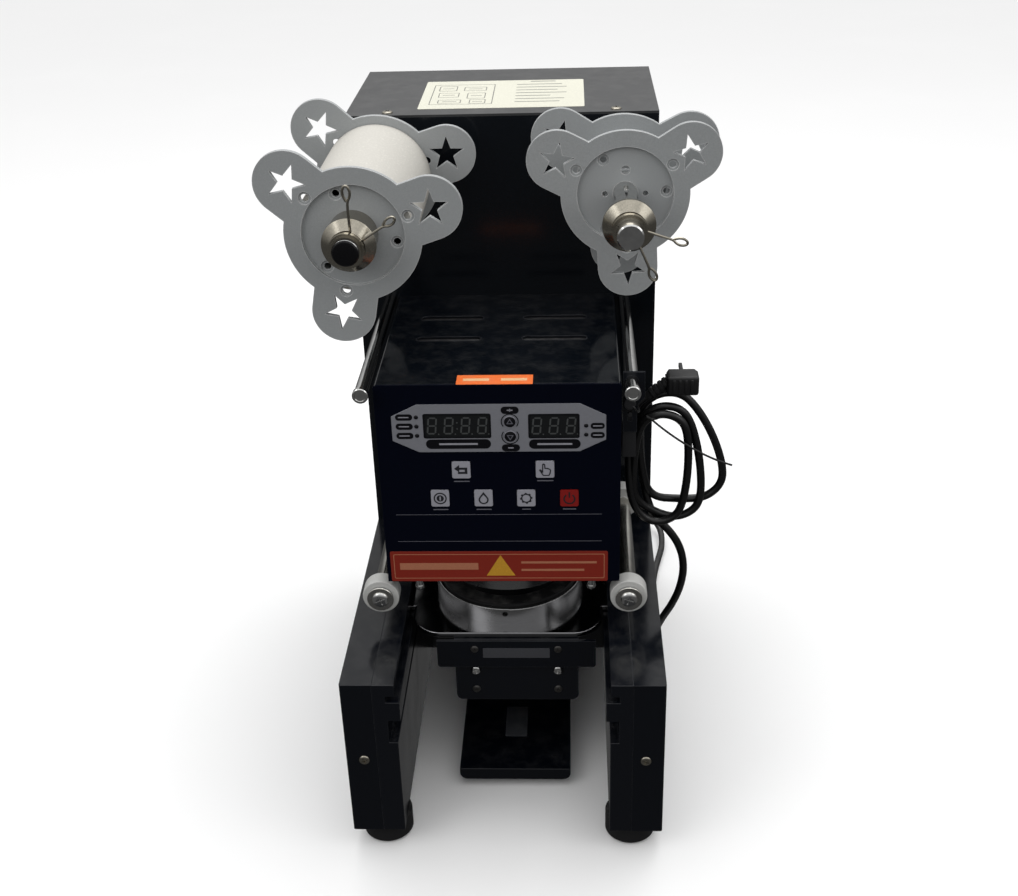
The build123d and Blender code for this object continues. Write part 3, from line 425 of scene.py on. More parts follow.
# ----------------------------------------------------------------------------------------------------
# Node trees and shared effects
# ----------------------------------------------------------------------------------------------------
class Tree:
    """A short way to write a node tree."""

    def __init__(self, tree: bpy.types.NodeTree) -> None:
        """Start with an empty tree.

        Args:
            tree: the node tree to fill.
        """
        self.tree = tree
        self.tree.nodes.clear()

    def add(
        self, kind: str, inputs: dict[str | int, object] | None = None, **settings: object
    ) -> bpy.types.Node:
        """Add a node, set it and join its inputs.

        Args:
            kind: node type, without its ShaderNode prefix where it has one.
            inputs: value or output socket for each input.
            settings: attributes of the node.

        Returns:
            The node.
        """
        node = self.tree.nodes.new(kind if kind.startswith("Node") else "ShaderNode" + kind)
        for key, value in settings.items():
            setattr(node, key, value)
        for key, value in (inputs or {}).items():
            if isinstance(value, bpy.types.NodeSocket):
                self.tree.links.new(value, node.inputs[key])
            else:
                node.inputs[key].default_value = value
        return node

    def noise(self, vector: object, scale: float, detail: float = 4.0, rough: float = 0.55) -> object:
        """Noise texture's factor.

        Args:
            vector: coordinates to read.
            scale: scale of the noise.
            detail: octaves.
            rough: weight of the finer octaves.

        Returns:
            The output socket.
        """
        values = {"Vector": vector, "Scale": scale, "Detail": detail, "Roughness": rough}
        return self.add("TexNoise", values).outputs["Fac"]

    def spread(self, value: object, low: float, high: float, out_low: float, out_high: float) -> object:
        """Map a range of values onto another, clamped.

        Args:
            value: socket to map.
            low: start of its range.
            high: end of its range.
            out_low: what the start becomes.
            out_high: what the end becomes.

        Returns:
            The output socket.
        """
        values = {"Value": value, "From Min": low, "From Max": high, "To Min": out_low, "To Max": out_high}
        return self.add("MapRange", values).outputs["Result"]

    def mix(self, factor: object, first: object, second: object) -> object:
        """Mix two colours.

        Args:
            factor: how much of the second.
            first: first colour or socket.
            second: second colour or socket.

        Returns:
            The output socket.
        """
        node = self.add("Mix", {0: factor, 6: first, 7: second}, data_type="RGBA")
        return node.outputs[2]

    def times(self, first: object, second: object) -> object:
        """Multiply two values."""
        return self.add("Math", {0: first, 1: second}, operation="MULTIPLY").outputs[0]


class Effect(Enum):
    """Effects that several materials share."""

    MARKS = "handling_marks"
    GRAIN = "fine_grain"
    RINGS = "turned_rings"
    BRUSH = "brushed_lines"
    DUST = "settled_dust"
    WEAR_AND_HIGHLIGHT = "edge_wear_and_highlight"

    def group(self) -> bpy.types.NodeTree:
        """Build the effect's group once.

        Returns:
            The node group.
        """
        done = bpy.data.node_groups.get(self.value)
        if done:
            return done
        group = bpy.data.node_groups.new(self.value, "ShaderNodeTree")
        face = group.interface
        face.new_socket("Vector", in_out="INPUT", socket_type="NodeSocketVector")
        face.new_socket("Scale", in_out="INPUT", socket_type="NodeSocketFloat")
        face.new_socket("Mask", in_out="OUTPUT", socket_type="NodeSocketFloat")
        tree = Tree(group)
        given = tree.add("NodeGroupInput")
        vector, scale = given.outputs["Vector"], given.outputs["Scale"]
        result = tree.add("NodeGroupOutput")
        group.links.new(self.mask(tree, vector, scale), result.inputs["Mask"])
        return group

    def mask(self, tree: Tree, vector: object, scale: object) -> object:
        """Nodes of the effect.

        Args:
            tree: the group's tree.
            vector: coordinates.
            scale: scale of the pattern.

        Returns:
            Socket of the finished mask.
        """
        if self is Effect.MARKS:
            cloud = tree.spread(tree.noise(vector, scale, 3.0, 0.6), 0.38, 0.8, 0.0, 1.0)
            drawn = {"Vector": vector, "Scale": (1.0, 14.0, 3.0), "Rotation": (0.4, 0.7, 0.5)}
            streaks = tree.add("Mapping", drawn).outputs[0]
            fine = tree.times(scale, 7.0)
            lines = tree.spread(tree.noise(streaks, fine, 2.0, 0.5), 0.69, 0.74, 0.0, 0.5)
            return tree.add("Math", {0: cloud, 1: lines}, operation="MAXIMUM").outputs[0]
        if self is Effect.GRAIN:
            rough = tree.noise(vector, scale, 5.0, 0.65)
            cells = tree.add("TexVoronoi", {"Vector": vector, "Scale": scale}).outputs["Distance"]
            return tree.add("Math", {0: rough, 1: cells}, operation="MULTIPLY").outputs[0]
        if self is Effect.RINGS:
            length = tree.add("VectorMath", {0: vector}, operation="LENGTH").outputs["Value"]
            spun = tree.add("CombineXYZ", {"X": length}).outputs[0]
            return tree.noise(spun, scale, 3.0, 0.7)
        if self is Effect.BRUSH:
            return tree.noise(vector, scale, 4.0, 0.7)
        if self is Effect.DUST:
            normal = tree.add("NewGeometry").outputs["Normal"]
            up = tree.spread(tree.add("SeparateXYZ", {0: normal}).outputs["Z"], 0.6, 1.0, 0.0, 1.0)
            cloud = tree.spread(tree.noise(vector, scale, 6.0, 0.7), 0.45, 0.8, 0.0, 1.0)
            return tree.times(up, cloud)
        # Edge mask: real rubbed wear on the black paints, and a painted highlight along the edges of the tray
        # and the reels.
        bent = tree.add("Bevel", {"Radius": WEAR_AND_HIGHLIGHT_RADIUS}, samples=4).outputs["Normal"]
        normal = tree.add("NewGeometry").outputs["Normal"]
        same = tree.add("VectorMath", {0: bent, 1: normal}, operation="DOT_PRODUCT").outputs["Value"]
        edge = tree.spread(same, 0.8, 0.985, 1.0, 0.0)
        broken = tree.spread(tree.noise(vector, scale, 4.0, 0.7), 0.3, 0.55, 0.35, 1.0)
        return tree.times(edge, broken)

    def place(self, tree: Tree, vector: object, scale: float) -> object:
        """Put the effect into a material.

        Args:
            tree: the material's tree.
            vector: coordinates.
            scale: scale of the pattern.

        Returns:
            The mask's socket.
        """
        node = tree.add("Group", node_tree=self.group())
        tree.tree.links.new(vector, node.inputs["Vector"])
        node.inputs["Scale"].default_value = scale
        return node.outputs["Mask"]


# Materials made so far. The frame brings its own under the record's slot names, so they aren't looked up.
MADE: dict[str, bpy.types.Material] = {}


class Surface(Enum):
    """How a finish was made, which sets its pattern."""

    PAINT = "paint"
    BRUSHED = "brushed"
    TURNED = "turned"
    CHROME = "chrome"
    MOULDED = "moulded"
    RUBBER = "rubber"
    CARD = "card"
    PAPER = "paper"


@dataclass(frozen=True)
class Finish:
    """One finish: its colour, gloss and surface pattern."""

    name: str
    surface: Surface
    colour: Triple
    roughness: float
    metallic: float = 0.0
    specular: float = 0.5
    coat: float = 0.0
    bump: float = 0.15
    pattern: float = 900.0
    dust: float = 0.1
    # Edge colour and its strength: real wear on the black paints, a painted highlight on the tray and the
    # reels.
    wear_and_highlight: Triple = (0.0, 0.0, 0.0)
    wear_and_highlight_amount: float = 0.0
    centre: Triple = (0.0, 0.0, 0.0)
    stretch: Triple = (1.0, 1.0, 1.0)
    mottle: float = 0.14

    def material(self) -> bpy.types.Material:
        """Build the finish's material once.

        Returns:
            The material.
        """
        if self.name in MADE:
            return MADE[self.name]
        material = MADE[self.name] = bpy.data.materials.new(self.name + "_finish")
        material.use_nodes = True
        tree = Tree(material.node_tree)
        place = tree.add("TexCoord").outputs["Object"]
        marks = Effect.MARKS.place(tree, place, MARKS_SCALE)
        dust = Effect.DUST.place(tree, place, DUST_SCALE)
        height = self.height(tree, place)
        dark = tuple(value * (1.0 - self.mottle) for value in self.colour)
        light = tuple(min(1.0, value * (1.0 + 0.7 * self.mottle)) for value in self.colour)
        colour = tree.mix(tree.spread(height, 0.25, 0.75, 0.0, 1.0), (*dark, 1.0), (*light, 1.0))
        if self.dust:
            colour = tree.mix(tree.times(dust, self.dust), colour, (*DUST_COLOUR, 1.0))
        # Edge colour: real wear on some finishes, a painted highlight on the tray's and reels' edges.
        if self.wear_and_highlight_amount:
            edge = tree.times(Effect.WEAR_AND_HIGHLIGHT.place(tree, place, WEAR_AND_HIGHLIGHT_SCALE), self.wear_and_highlight_amount)
            colour = tree.mix(edge, colour, (*self.wear_and_highlight, 1.0))
        swing = 0.03 + 0.16 * self.roughness
        low = max(0.02, self.roughness - swing * 0.35)
        rough = tree.spread(marks, 0.0, 1.0, low, self.roughness + swing)
        bumped = tree.add("Bump", {"Strength": self.bump, "Distance": BUMP_HEIGHT, "Height": height})
        shader = tree.add("BsdfPrincipled")
        for key, value in (("Metallic", self.metallic), ("Specular IOR Level", self.specular)):
            shader.inputs[key].default_value = value
        shader.inputs["Coat Weight"].default_value = self.coat
        shader.inputs["Coat Roughness"].default_value = COAT_ROUGHNESS
        links = material.node_tree.links
        links.new(colour, shader.inputs["Base Color"])
        links.new(rough, shader.inputs["Roughness"])
        links.new(bumped.outputs["Normal"], shader.inputs["Normal"])
        tree.add("OutputMaterial", {"Surface": shader.outputs["BSDF"]})
        return material

    def height(self, tree: Tree, place: object) -> object:
        """Height pattern that the surface's making leaves.

        Args:
            tree: the material's tree.
            place: object coordinates.

        Returns:
            Socket of the height.
        """
        if self.surface is Surface.TURNED:
            offset = tuple(-value * MM for value in self.centre)
            moved = tree.add("Mapping", {"Vector": place, "Location": offset, "Scale": self.stretch})
            return Effect.RINGS.place(tree, moved.outputs[0], self.pattern)
        if self.surface is Surface.BRUSHED:
            drawn = tree.add("Mapping", {"Vector": place, "Scale": self.stretch})
            return Effect.BRUSH.place(tree, drawn.outputs[0], self.pattern)
        if self.surface in (Surface.PAINT, Surface.CHROME):
            return tree.noise(place, self.pattern, 3.0, 0.5)
        return Effect.GRAIN.place(tree, place, self.pattern)


# Finishes. Colours are in linear light, and pattern is the number of waves in a metre.
GREY_WEAR = (0.05, 0.052, 0.058)
BLACK_PAINT = Finish("casing_black", Surface.PAINT, (0.0022, 0.0032, 0.0058), 0.14, specular=0.3, coat=0.04,
                     pattern=260.0, bump=0.03, dust=0.035, wear_and_highlight=GREY_WEAR, wear_and_highlight_amount=0.7)
ROOF_PAINT = Finish("casing_black_roof", Surface.PAINT, (0.03, 0.031, 0.032), 0.4, specular=0.6,
                    pattern=1400.0, bump=0.12, dust=0.06, wear_and_highlight=GREY_WEAR, wear_and_highlight_amount=0.7)
HEAD_PAINT = Finish("casing_black_head", Surface.PAINT, (0.003, 0.0042, 0.0064), 0.1, specular=0.3, coat=0.1,
                    pattern=200.0, bump=0.02, dust=0.03, wear_and_highlight=GREY_WEAR, wear_and_highlight_amount=0.6)
TOWER_PAINT = Finish("casing_black_tower", Surface.PAINT, (0.003, 0.0046, 0.0072), 0.16, specular=0.3,
                     pattern=200.0, bump=0.02, dust=0.02)
RAIL_PAINT = Finish("rail_black", Surface.PAINT, (0.003, 0.004, 0.0068), 0.2, specular=0.32, coat=0.03,
                    pattern=900.0, bump=0.08, dust=0.05, wear_and_highlight=GREY_WEAR, wear_and_highlight_amount=0.8)
PANEL_FOIL = Finish("panel_black", Surface.PAINT, (0.0014, 0.0023, 0.0075), 0.16, specular=0.1,
                    pattern=500.0, bump=0.02, dust=0.02)
BEZEL_SILVER = Finish("bezel_silver", Surface.BRUSHED, (0.31, 0.315, 0.35), 0.36, metallic=0.35, specular=0.4,
                      pattern=260.0, stretch=(1.0, 12.0, 12.0), bump=0.05, dust=0.0)
BOARD_GREEN = Finish("board_green", Surface.MOULDED, (0.01, 0.03, 0.02), 0.4, pattern=500.0, dust=0.0)
ZINC_STEEL = Finish("zinc_steel", Surface.BRUSHED, (0.5, 0.51, 0.52), 0.3, metallic=1.0,
                    pattern=200.0, stretch=(1.0, 9.0, 9.0), bump=0.06)
BRIGHT_CHROME = Finish("bright_chrome", Surface.CHROME, (0.62, 0.62, 0.61), 0.1, metallic=1.0,
                       pattern=150.0, bump=0.02, dust=0.03)
NICKEL = Finish("nickel", Surface.CHROME, (0.36, 0.335, 0.28), 0.22, metallic=1.0,
                pattern=700.0, bump=0.06, dust=0.03)
RING_METAL = Finish("turned_aluminium", Surface.TURNED, (0.34, 0.34, 0.34), 0.24, metallic=1.0,
                    pattern=520.0, centre=(0.0, -46.5, 165.0), stretch=(1.0, 1.0, 2.4), bump=0.12, dust=0.0)
# The light edge colour is a painted highlight on the tray's front edge.
TRAY_METAL = Finish("polished_tray", Surface.BRUSHED, (0.3, 0.3, 0.31), 0.1, metallic=1.0,
                    pattern=160.0, stretch=(1.0, 8.0, 8.0), bump=0.03, dust=0.02, wear_and_highlight=(0.85, 0.85, 0.86),
                    wear_and_highlight_amount=1.0)
# The near-white edge colour is a painted highlight on the rims of the reel plates.
REEL_GREY = Finish("reel_grey", Surface.PAINT, (0.37, 0.385, 0.39), 0.42, specular=0.45,
                   pattern=1500.0, bump=0.1, dust=0.1, wear_and_highlight=(0.86, 0.86, 0.85), wear_and_highlight_amount=1.0)
CORE_CARD = Finish("core_card", Surface.CARD, (0.6, 0.58, 0.53), 0.7, pattern=650.0, bump=0.2, dust=0.05)
BLACK_RUBBER = Finish("black_rubber", Surface.RUBBER, (0.012, 0.012, 0.013), 0.6, specular=0.3,
                      pattern=1300.0, bump=0.3, dust=0.2)
CORD_BLACK = Finish("cord_black", Surface.RUBBER, (0.005, 0.005, 0.0055), 0.28, specular=0.5,
                    pattern=1500.0, bump=0.15, dust=0.06)
KEY_GREY = Finish("key_grey", Surface.MOULDED, (0.42, 0.42, 0.47), 0.35, specular=0.4,
                  pattern=1500.0, bump=0.06, dust=0.0)
KEY_RED = Finish("key_red", Surface.MOULDED, (0.3, 0.012, 0.01), 0.35, specular=0.4,
                 pattern=1500.0, bump=0.06, dust=0.0)
ROLLER_WHITE = Finish("roller_white", Surface.MOULDED, (0.64, 0.64, 0.62), 0.36, pattern=1200.0, bump=0.08)
SLEEVE_METAL = Finish("sleeve_metal", Surface.CHROME, (0.74, 0.72, 0.66), 0.2, metallic=1.0,
                      pattern=70.0, bump=0.02, dust=0.02)
MOTOR_BLACK = Finish("motor_black", Surface.PAINT, (0.03, 0.03, 0.033), 0.4, pattern=900.0)
BRASS_GEAR = Finish("brass_gear", Surface.TURNED, (0.6, 0.4, 0.14), 0.28, metallic=1.0, pattern=600.0,
                    centre=(112.5, -51.0, 143.0))
SENSOR_BLACK = Finish("sensor_black", Surface.MOULDED, (0.012, 0.012, 0.014), 0.5, pattern=1500.0)
LABEL_CREAM = Finish("label_cream", Surface.PAPER, (0.72, 0.71, 0.6), 0.55, pattern=900.0, bump=0.08)
LABEL_INK = Finish("label_ink", Surface.PAPER, (0.2, 0.2, 0.18), 0.55, pattern=900.0, bump=0.05, dust=0.05)
LABEL_ORANGE = Finish("label_orange", Surface.PAPER, (0.9, 0.17, 0.02), 0.45, pattern=900.0, bump=0.06)
LABEL_PALE = Finish("label_pale", Surface.PAPER, (0.82, 0.5, 0.25), 0.5, pattern=900.0, bump=0.05)
STRIP_RED = Finish("strip_red", Surface.PAPER, (0.28, 0.022, 0.01), 0.36, pattern=900.0, bump=0.05, dust=0.03)
STRIP_TAN = Finish("strip_tan", Surface.PAPER, (0.52, 0.2, 0.11), 0.4, pattern=900.0, bump=0.05, dust=0.02)
WARN_YELLOW = Finish("warn_yellow", Surface.PAPER, (0.7, 0.36, 0.03), 0.4,
                     pattern=900.0, bump=0.05, dust=0.02)
PILL_BLACK = Finish("pill_black", Surface.MOULDED, (0.004, 0.004, 0.006), 0.3, specular=0.25,
                    pattern=900.0, bump=0.04, dust=0.0)
WINDOW_DARK = Finish("window_dark", Surface.MOULDED, (0.011, 0.012, 0.013), 0.16, specular=0.3,
                     pattern=900.0, bump=0.03, dust=0.0)
DIGIT_GREY = Finish("digit_grey", Surface.MOULDED, (0.075, 0.08, 0.08), 0.35, specular=0.3,
                    pattern=1800.0, bump=0.05, dust=0.0)
SIGN_DARK = Finish("sign_dark", Surface.MOULDED, (0.015, 0.015, 0.02), 0.4,
                   pattern=900.0, bump=0.03, dust=0.0)
SIGN_GREY = Finish("sign_grey", Surface.MOULDED, (0.16, 0.16, 0.19), 0.4,
                   pattern=900.0, bump=0.03, dust=0.0)
PLUG_BLACK = Finish("plug_black", Surface.MOULDED, (0.008, 0.008, 0.009), 0.4, specular=0.45,
                    pattern=1400.0, bump=0.12, dust=0.05)
SCREW_DARK = Finish("screw_dark", Surface.CHROME, (0.06, 0.058, 0.055), 0.35, metallic=0.6, pattern=700.0)
END_BLACK = Finish("end_black", Surface.MOULDED, (0.004, 0.004, 0.005), 0.28, specular=0.25, pattern=900.0,
                   bump=0.05, dust=0.02)
PAD_GREY = Finish("pad_grey", Surface.RUBBER, (0.05, 0.054, 0.062), 0.55, pattern=900.0, bump=0.2)
DOOR_LABEL_GREY = Finish("door_label_grey", Surface.PAPER, (0.06, 0.062, 0.07), 0.4,
                         pattern=900.0, bump=0.05)


def dress(piece: bpy.types.Object, finish: Finish) -> None:
    """Give a piece one finish.

    Args:
        piece: any object with material slots.
        finish: the finish.
    """
    piece.data.materials.clear()
    piece.data.materials.append(finish.material())


def complete(
    piece: bpy.types.Object, finish: Finish, body: str, smooth: bool = True
) -> bpy.types.Object:
    """Finish, shade and hang a new piece on its body.

    Args:
        piece: a mesh object at the origin.
        finish: its finish.
        body: the CAD body that it rides on.
        smooth: whether its curved faces shade smoothly.

    Returns:
        The piece.
    """
    dress(piece, finish)
    make_active(piece)
    if smooth:
        bpy.ops.object.shade_smooth_by_angle(angle=SMOOTH_ANGLE)
    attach(piece, body)
    LOG.info("%s: %d faces on %s", piece.name, len(piece.data.polygons), body)
    return piece


# ----------------------------------------------------------------------------------------------------
# Studio
# ----------------------------------------------------------------------------------------------------
@dataclass
class Studio:
    """Camera, soft lights and a pale floor."""

    place: Triple = (0.0575, -1.0566, 0.8326)
    pitch: float = 0.487
    yaw: float = 0.054
    roll: float = -0.032
    lens: float = 47.39
    floor_size: float = 40.0
    sky: float = 1.3
    horizon: float = 0.26
    ground: float = 0.1

    def camera(self) -> None:
        """Make the camera."""
        data = bpy.data.cameras.new("camera")
        data.lens = self.lens
        data.sensor_width = 36.0
        data.clip_start = 0.01
        right = Vector((math.cos(self.yaw), math.sin(self.yaw), 0.0))
        level, down = math.cos(self.pitch), math.sin(self.pitch)
        look = Vector((-math.sin(self.yaw) * level, math.cos(self.yaw) * level, -down))
        up = right.cross(look)
        across = math.cos(self.roll) * right + math.sin(self.roll) * up
        upward = -math.sin(self.roll) * right + math.cos(self.roll) * up
        turn = Matrix((across, upward, -look)).transposed().to_4x4()
        camera = bpy.data.objects.new("camera", data)
        camera.matrix_world = Matrix.Translation(self.place) @ turn
        bpy.context.scene.collection.objects.link(camera)
        bpy.context.scene.camera = camera

    def lights(self) -> None:
        """Make the white surroundings and the soft boxes."""
        world = bpy.data.worlds.new("studio")
        bpy.context.scene.world = world
        world.use_nodes = True
        tree = Tree(world.node_tree)
        way = tree.add("TexCoord").outputs["Generated"]
        up = tree.add("SeparateXYZ", {0: way}).outputs["Z"]
        above = tree.spread(up, 0.0, 1.0, self.horizon, self.sky)
        below = tree.spread(up, -0.15, 0.0, self.ground - self.horizon, 0.0)
        level = tree.add("Math", {0: above, 1: below}, operation="ADD").outputs[0]
        seen = tree.add("LightPath").outputs["Is Camera Ray"]
        shown = tree.add("Math", {0: level, 1: seen}, operation="MAXIMUM").outputs[0]
        glow = tree.add("Background", {"Color": (1.0, 1.0, 1.0, 1.0), "Strength": shown})
        tree.add("OutputWorld", {"Surface": glow.outputs[0]})
        boxes = [
            ("left_box", (-1.5, -1.3, 1.7), (0.0, 0.0, 0.3), 1.2, 7.0),
            ("right_box", (1.7, -0.7, 1.5), (0.0, 0.0, 0.3), 1.0, 3.5),
            ("top_box", (0.1, 0.5, 2.2), (0.0, 0.0, 0.3), 1.4, 17.0),
        ]
        for name, place, target, size, power in boxes:
            data = bpy.data.lights.new(name, "AREA")
            data.size = size
            data.energy = power
            lamp = bpy.data.objects.new(name, data)
            way = Vector(target) - Vector(place)
            lamp.matrix_world = Matrix.Translation(place) @ way.to_track_quat("-Z", "Y").to_matrix().to_4x4()
            bpy.context.scene.collection.objects.link(lamp)

    def floor(self) -> None:
        """Lay the pale floor."""
        deselect()
        bpy.ops.mesh.primitive_plane_add(size=self.floor_size, location=(0, 0, -0.0004))
        floor = bpy.context.active_object
        floor.name = "studio_floor"
        settle(floor)
        dress(floor, Finish("studio_floor", Surface.PAPER, (0.92, 0.92, 0.92), 0.8, pattern=3.0, bump=0.0,
                            specular=0.0, dust=0.0, mottle=0.01))
        floor.visible_diffuse = False
        floor.visible_glossy = False

    def build(self) -> None:
        """Make the whole studio."""
        self.camera()
        self.lights()
        self.floor()
        bpy.context.scene.view_settings.view_transform = "Standard"
        bpy.context.scene.view_settings.look = "None"
        LOG.info("studio made")


# ----------------------------------------------------------------------------------------------------
# Mains cord
# ----------------------------------------------------------------------------------------------------
@dataclass(frozen=True)
class Turn:
    """One long turn of the hank, leaning a little."""

    centre: Pair
    wide: float
    long: float
    lean: float
    depth: float

    def points(self) -> list[Triple]:
        """Control points, from the lower left up, over the top and round.

        Returns:
            Twelve points in millimetres.
        """
        w, h = self.wide, self.long
        inner, drop = 0.72 * w, 0.28 * w
        shape = [
            (-w, w - h), (-1.1 * w, 0.0), (-w, h - w), (-inner, h - drop), (0.0, h), (inner, h - drop),
            (w, h - w), (1.1 * w, 0.0), (w, w - h), (inner, drop - h), (0.0, -h), (-inner, drop - h),
        ]
        lean = math.radians(self.lean)
        result = []
        for index, (across, along) in enumerate(shape):
            x = self.centre[0] + across * math.cos(lean) + along * math.sin(lean)
            z = self.centre[1] - across * math.sin(lean) + along * math.cos(lean)
            result.append((x, self.depth - 0.28 * index, z))
        return result


@dataclass
class MainsCord:
    """The mains cord from the gland, along the bench and up into its tied hank, with its plug."""

    diameter: float = 6.8
    length: float = 1.56
    exit: Triple = (80.0, 241.5, 60.0)
    plug: Triple = (147.0, -61.5, 368.5)
    route: list[Triple] = field(default_factory=lambda: [
        (80.0, 241.5, 60.0), (80.5, 265.0, 58.5), (80.5, 289.0, 53.0), (95.0, 311.0, 44.0),
        (120.0, 319.0, 33.0), (144.5, 311.0, 21.0), (159.0, 290.0, 11.5), (160.0, 264.0, 6.0),
        (154.5, 239.0, 4.2), (148.5, 213.0, 4.6), (144.0, 180.0, 4.2), (141.0, 144.0, 4.6),
        (139.0, 108.0, 8.5), (138.5, 74.0, 21.0), (139.5, 44.0, 43.0), (139.5, 15.0, 71.0),
        (141.5, -12.0, 99.0), (147.0, -35.0, 128.0), (152.5, -50.5, 157.0), (154.5, -59.0, 184.0),
        (150.0, -63.0, 208.0), (139.5, -64.5, 226.0), (126.0, -64.0, 239.0),
    ])
    riser: list[Triple] = field(default_factory=lambda: [(118.5, -61.0, 261.0), (114.5, -57.5, 290.0)])
    turns: list[Turn] = field(default_factory=lambda: [
        Turn((148.5, 303.0), 25.5, 54.0, -24.0, -55.0),
        Turn((139.0, 292.0), 22.5, 54.0, -9.0, -62.5),
        Turn((130.5, 289.5), 21.0, 52.0, 2.0, -69.5),
    ])
    tail: list[Triple] = field(default_factory=lambda: [
        (116.0, -72.0, 243.5), (107.0, -71.8, 258.0), (104.0, -70.5, 282.0), (104.0, -68.0, 306.0),
        (105.0, -65.5, 328.0), (108.5, -62.5, 344.0), (118.0, -61.5, 352.5), (124.0, -61.5, 355.5),
    ])

    def cord(self) -> bpy.types.Object:
        """Lay the cord on its route.

        Returns:
            The cord's curve.
        """
        curve = bpy.data.curves.new("mains_cord", "CURVE")
        curve.dimensions = "3D"
        curve.bevel_depth = self.diameter / 2 * MM
        curve.bevel_resolution = 5
        curve.resolution_u = 8
        curve.use_fill_caps = True
        first, second, third = (turn.points() for turn in self.turns)
        points = self.route + self.riser + first[2:] + second + third[:-1] + self.tail
        spline = curve.splines.new("NURBS")
        spline.points.add(len(points) - 1)
        for point, place in zip(spline.points, points):
            point.co = (*(value * MM for value in place), 1.0)
        spline.order_u = 3
        spline.use_endpoint_u = True
        piece = bpy.data.objects.new("mains_cord", curve)
        bpy.context.scene.collection.objects.link(piece)
        dress(piece, CORD_BLACK)
        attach(piece, "casing")
        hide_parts("power_cord", "cord_hank")
        return piece

    def moulded_plug(self) -> bpy.types.Object:
        """Model the plug with its waisted grip, boot and blades.

        Returns:
            The plug.
        """
        x, y, z = self.plug
        body = block("mains_plug", (x - 13, y - 9, z - 12.5), (x + 13, y + 7, z + 4.5), 2.4, 3)
        collar = block("plug_collar", (x - 11.5, y + 5, z - 11.5), (x + 11.5, y + 11, z + 3.5), 1.6, 3)
        parts = [body, collar]
        for step in range(4):
            low = x - 8.5 + 4.8 * step
            parts.append(block("grip_rib", (low, y - 10.0, z - 10), (low + 2.4, y - 7.5, z + 2), 0.6))
        for name, low, high in (
            ("earth_blade", (x - 1.5, y + 10, z - 2), (x + 1.5, y + 27.0, z + 1.5)),
            ("left_blade", (x - 8, y + 10, z - 8), (x - 3, y + 25.0, z - 6)),
            ("right_blade", (x + 3, y + 10, z - 8), (x + 8, y + 25.0, z - 6)),
        ):
            parts.append(block(name, low, high, 0.3))
        profile = [(0, -13), (4.2, -13), (4.6, -9)]
        for step in range(4):
            low = -8.0 + 4.4 * step
            profile += [(5.4, low), (5.4, low + 2.2), (4.4, low + 2.6), (4.4, low + 3.8)]
        profile += [(6.2, 10.0), (6.2, 13.0), (0, 13.0)]
        boot = lathe("plug_boot", profile, (0, 0, 0), Facing.TOP, 24)
        turn = Matrix.Rotation(math.radians(50.0), 4, "Y")
        parts.append(settle(boot, Matrix.Translation(Vector((x - 18.0, y, z - 8.5)) * MM) @ turn))
        plug = join("mains_plug", parts)
        return complete(plug, PLUG_BLACK, "casing")

    def relief(self) -> bpy.types.Object:
        """Model the ribbed strain relief at the back.

        Returns:
            The relief.
        """
        profile = [(0, -8), (9.0, -8), (9.0, 0), (12.5, 0), (12.5, 4.6), (11.3, 6), (7.4, 6)]
        for step in range(6):
            low = 7.2 + 3.6 * step
            radius = 7.2 - 0.36 * step
            groove = radius - 1.3
            profile += [(radius, low), (radius, low + 2.0), (groove, low + 2.3), (groove, low + 3.3)]
        profile += [(4.9, 29.0), (4.5, 30.0), (0, 30.0)]
        piece = lathe("strain_relief", profile, (80.0, 211.5, 60.0), Facing.BACK, 32)
        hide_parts("cable_gland")
        return complete(piece, BLACK_RUBBER, "casing")

    def tie(self) -> bpy.types.Object:
        """Twist the wire tie from the sensor bracket round the hank.

        Returns:
            The tie.
        """
        points = [
            (101.5, -133.2, 381.0), (104.0, -136.5, 379.0), (107.0, -134.0, 374.0), (109.0, -118.0, 366.0),
            (110.0, -98.0, 358.0), (110.5, -80.0, 350.5), (111.0, -66.0, 345.0), (111.5, -55.0, 342.0),
            (117.0, -51.5, 341.0), (125.0, -51.5, 338.5), (128.5, -57.0, 336.5), (128.5, -67.0, 335.5),
            (125.0, -74.0, 337.0), (118.0, -75.5, 339.0), (117.5, -74.5, 341.5), (128.0, -76.0, 332.0),
            (142.0, -77.0, 321.0), (158.0, -77.0, 310.0), (173.0, -76.5, 301.5), (186.0, -76.0, 296.0),
            (189.0, -75.8, 295.0),
        ]
        piece = wire("wire_tie", points, 0.9)
        return complete(piece, CORD_BLACK, "casing")

    def build(self) -> None:
        """Make the cord and its pieces."""
        cord = self.cord()
        plug = self.moulded_plug()
        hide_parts("power_plug")
        relief = self.relief()
        tie = self.tie()
        LOG.info("mains cord laid")


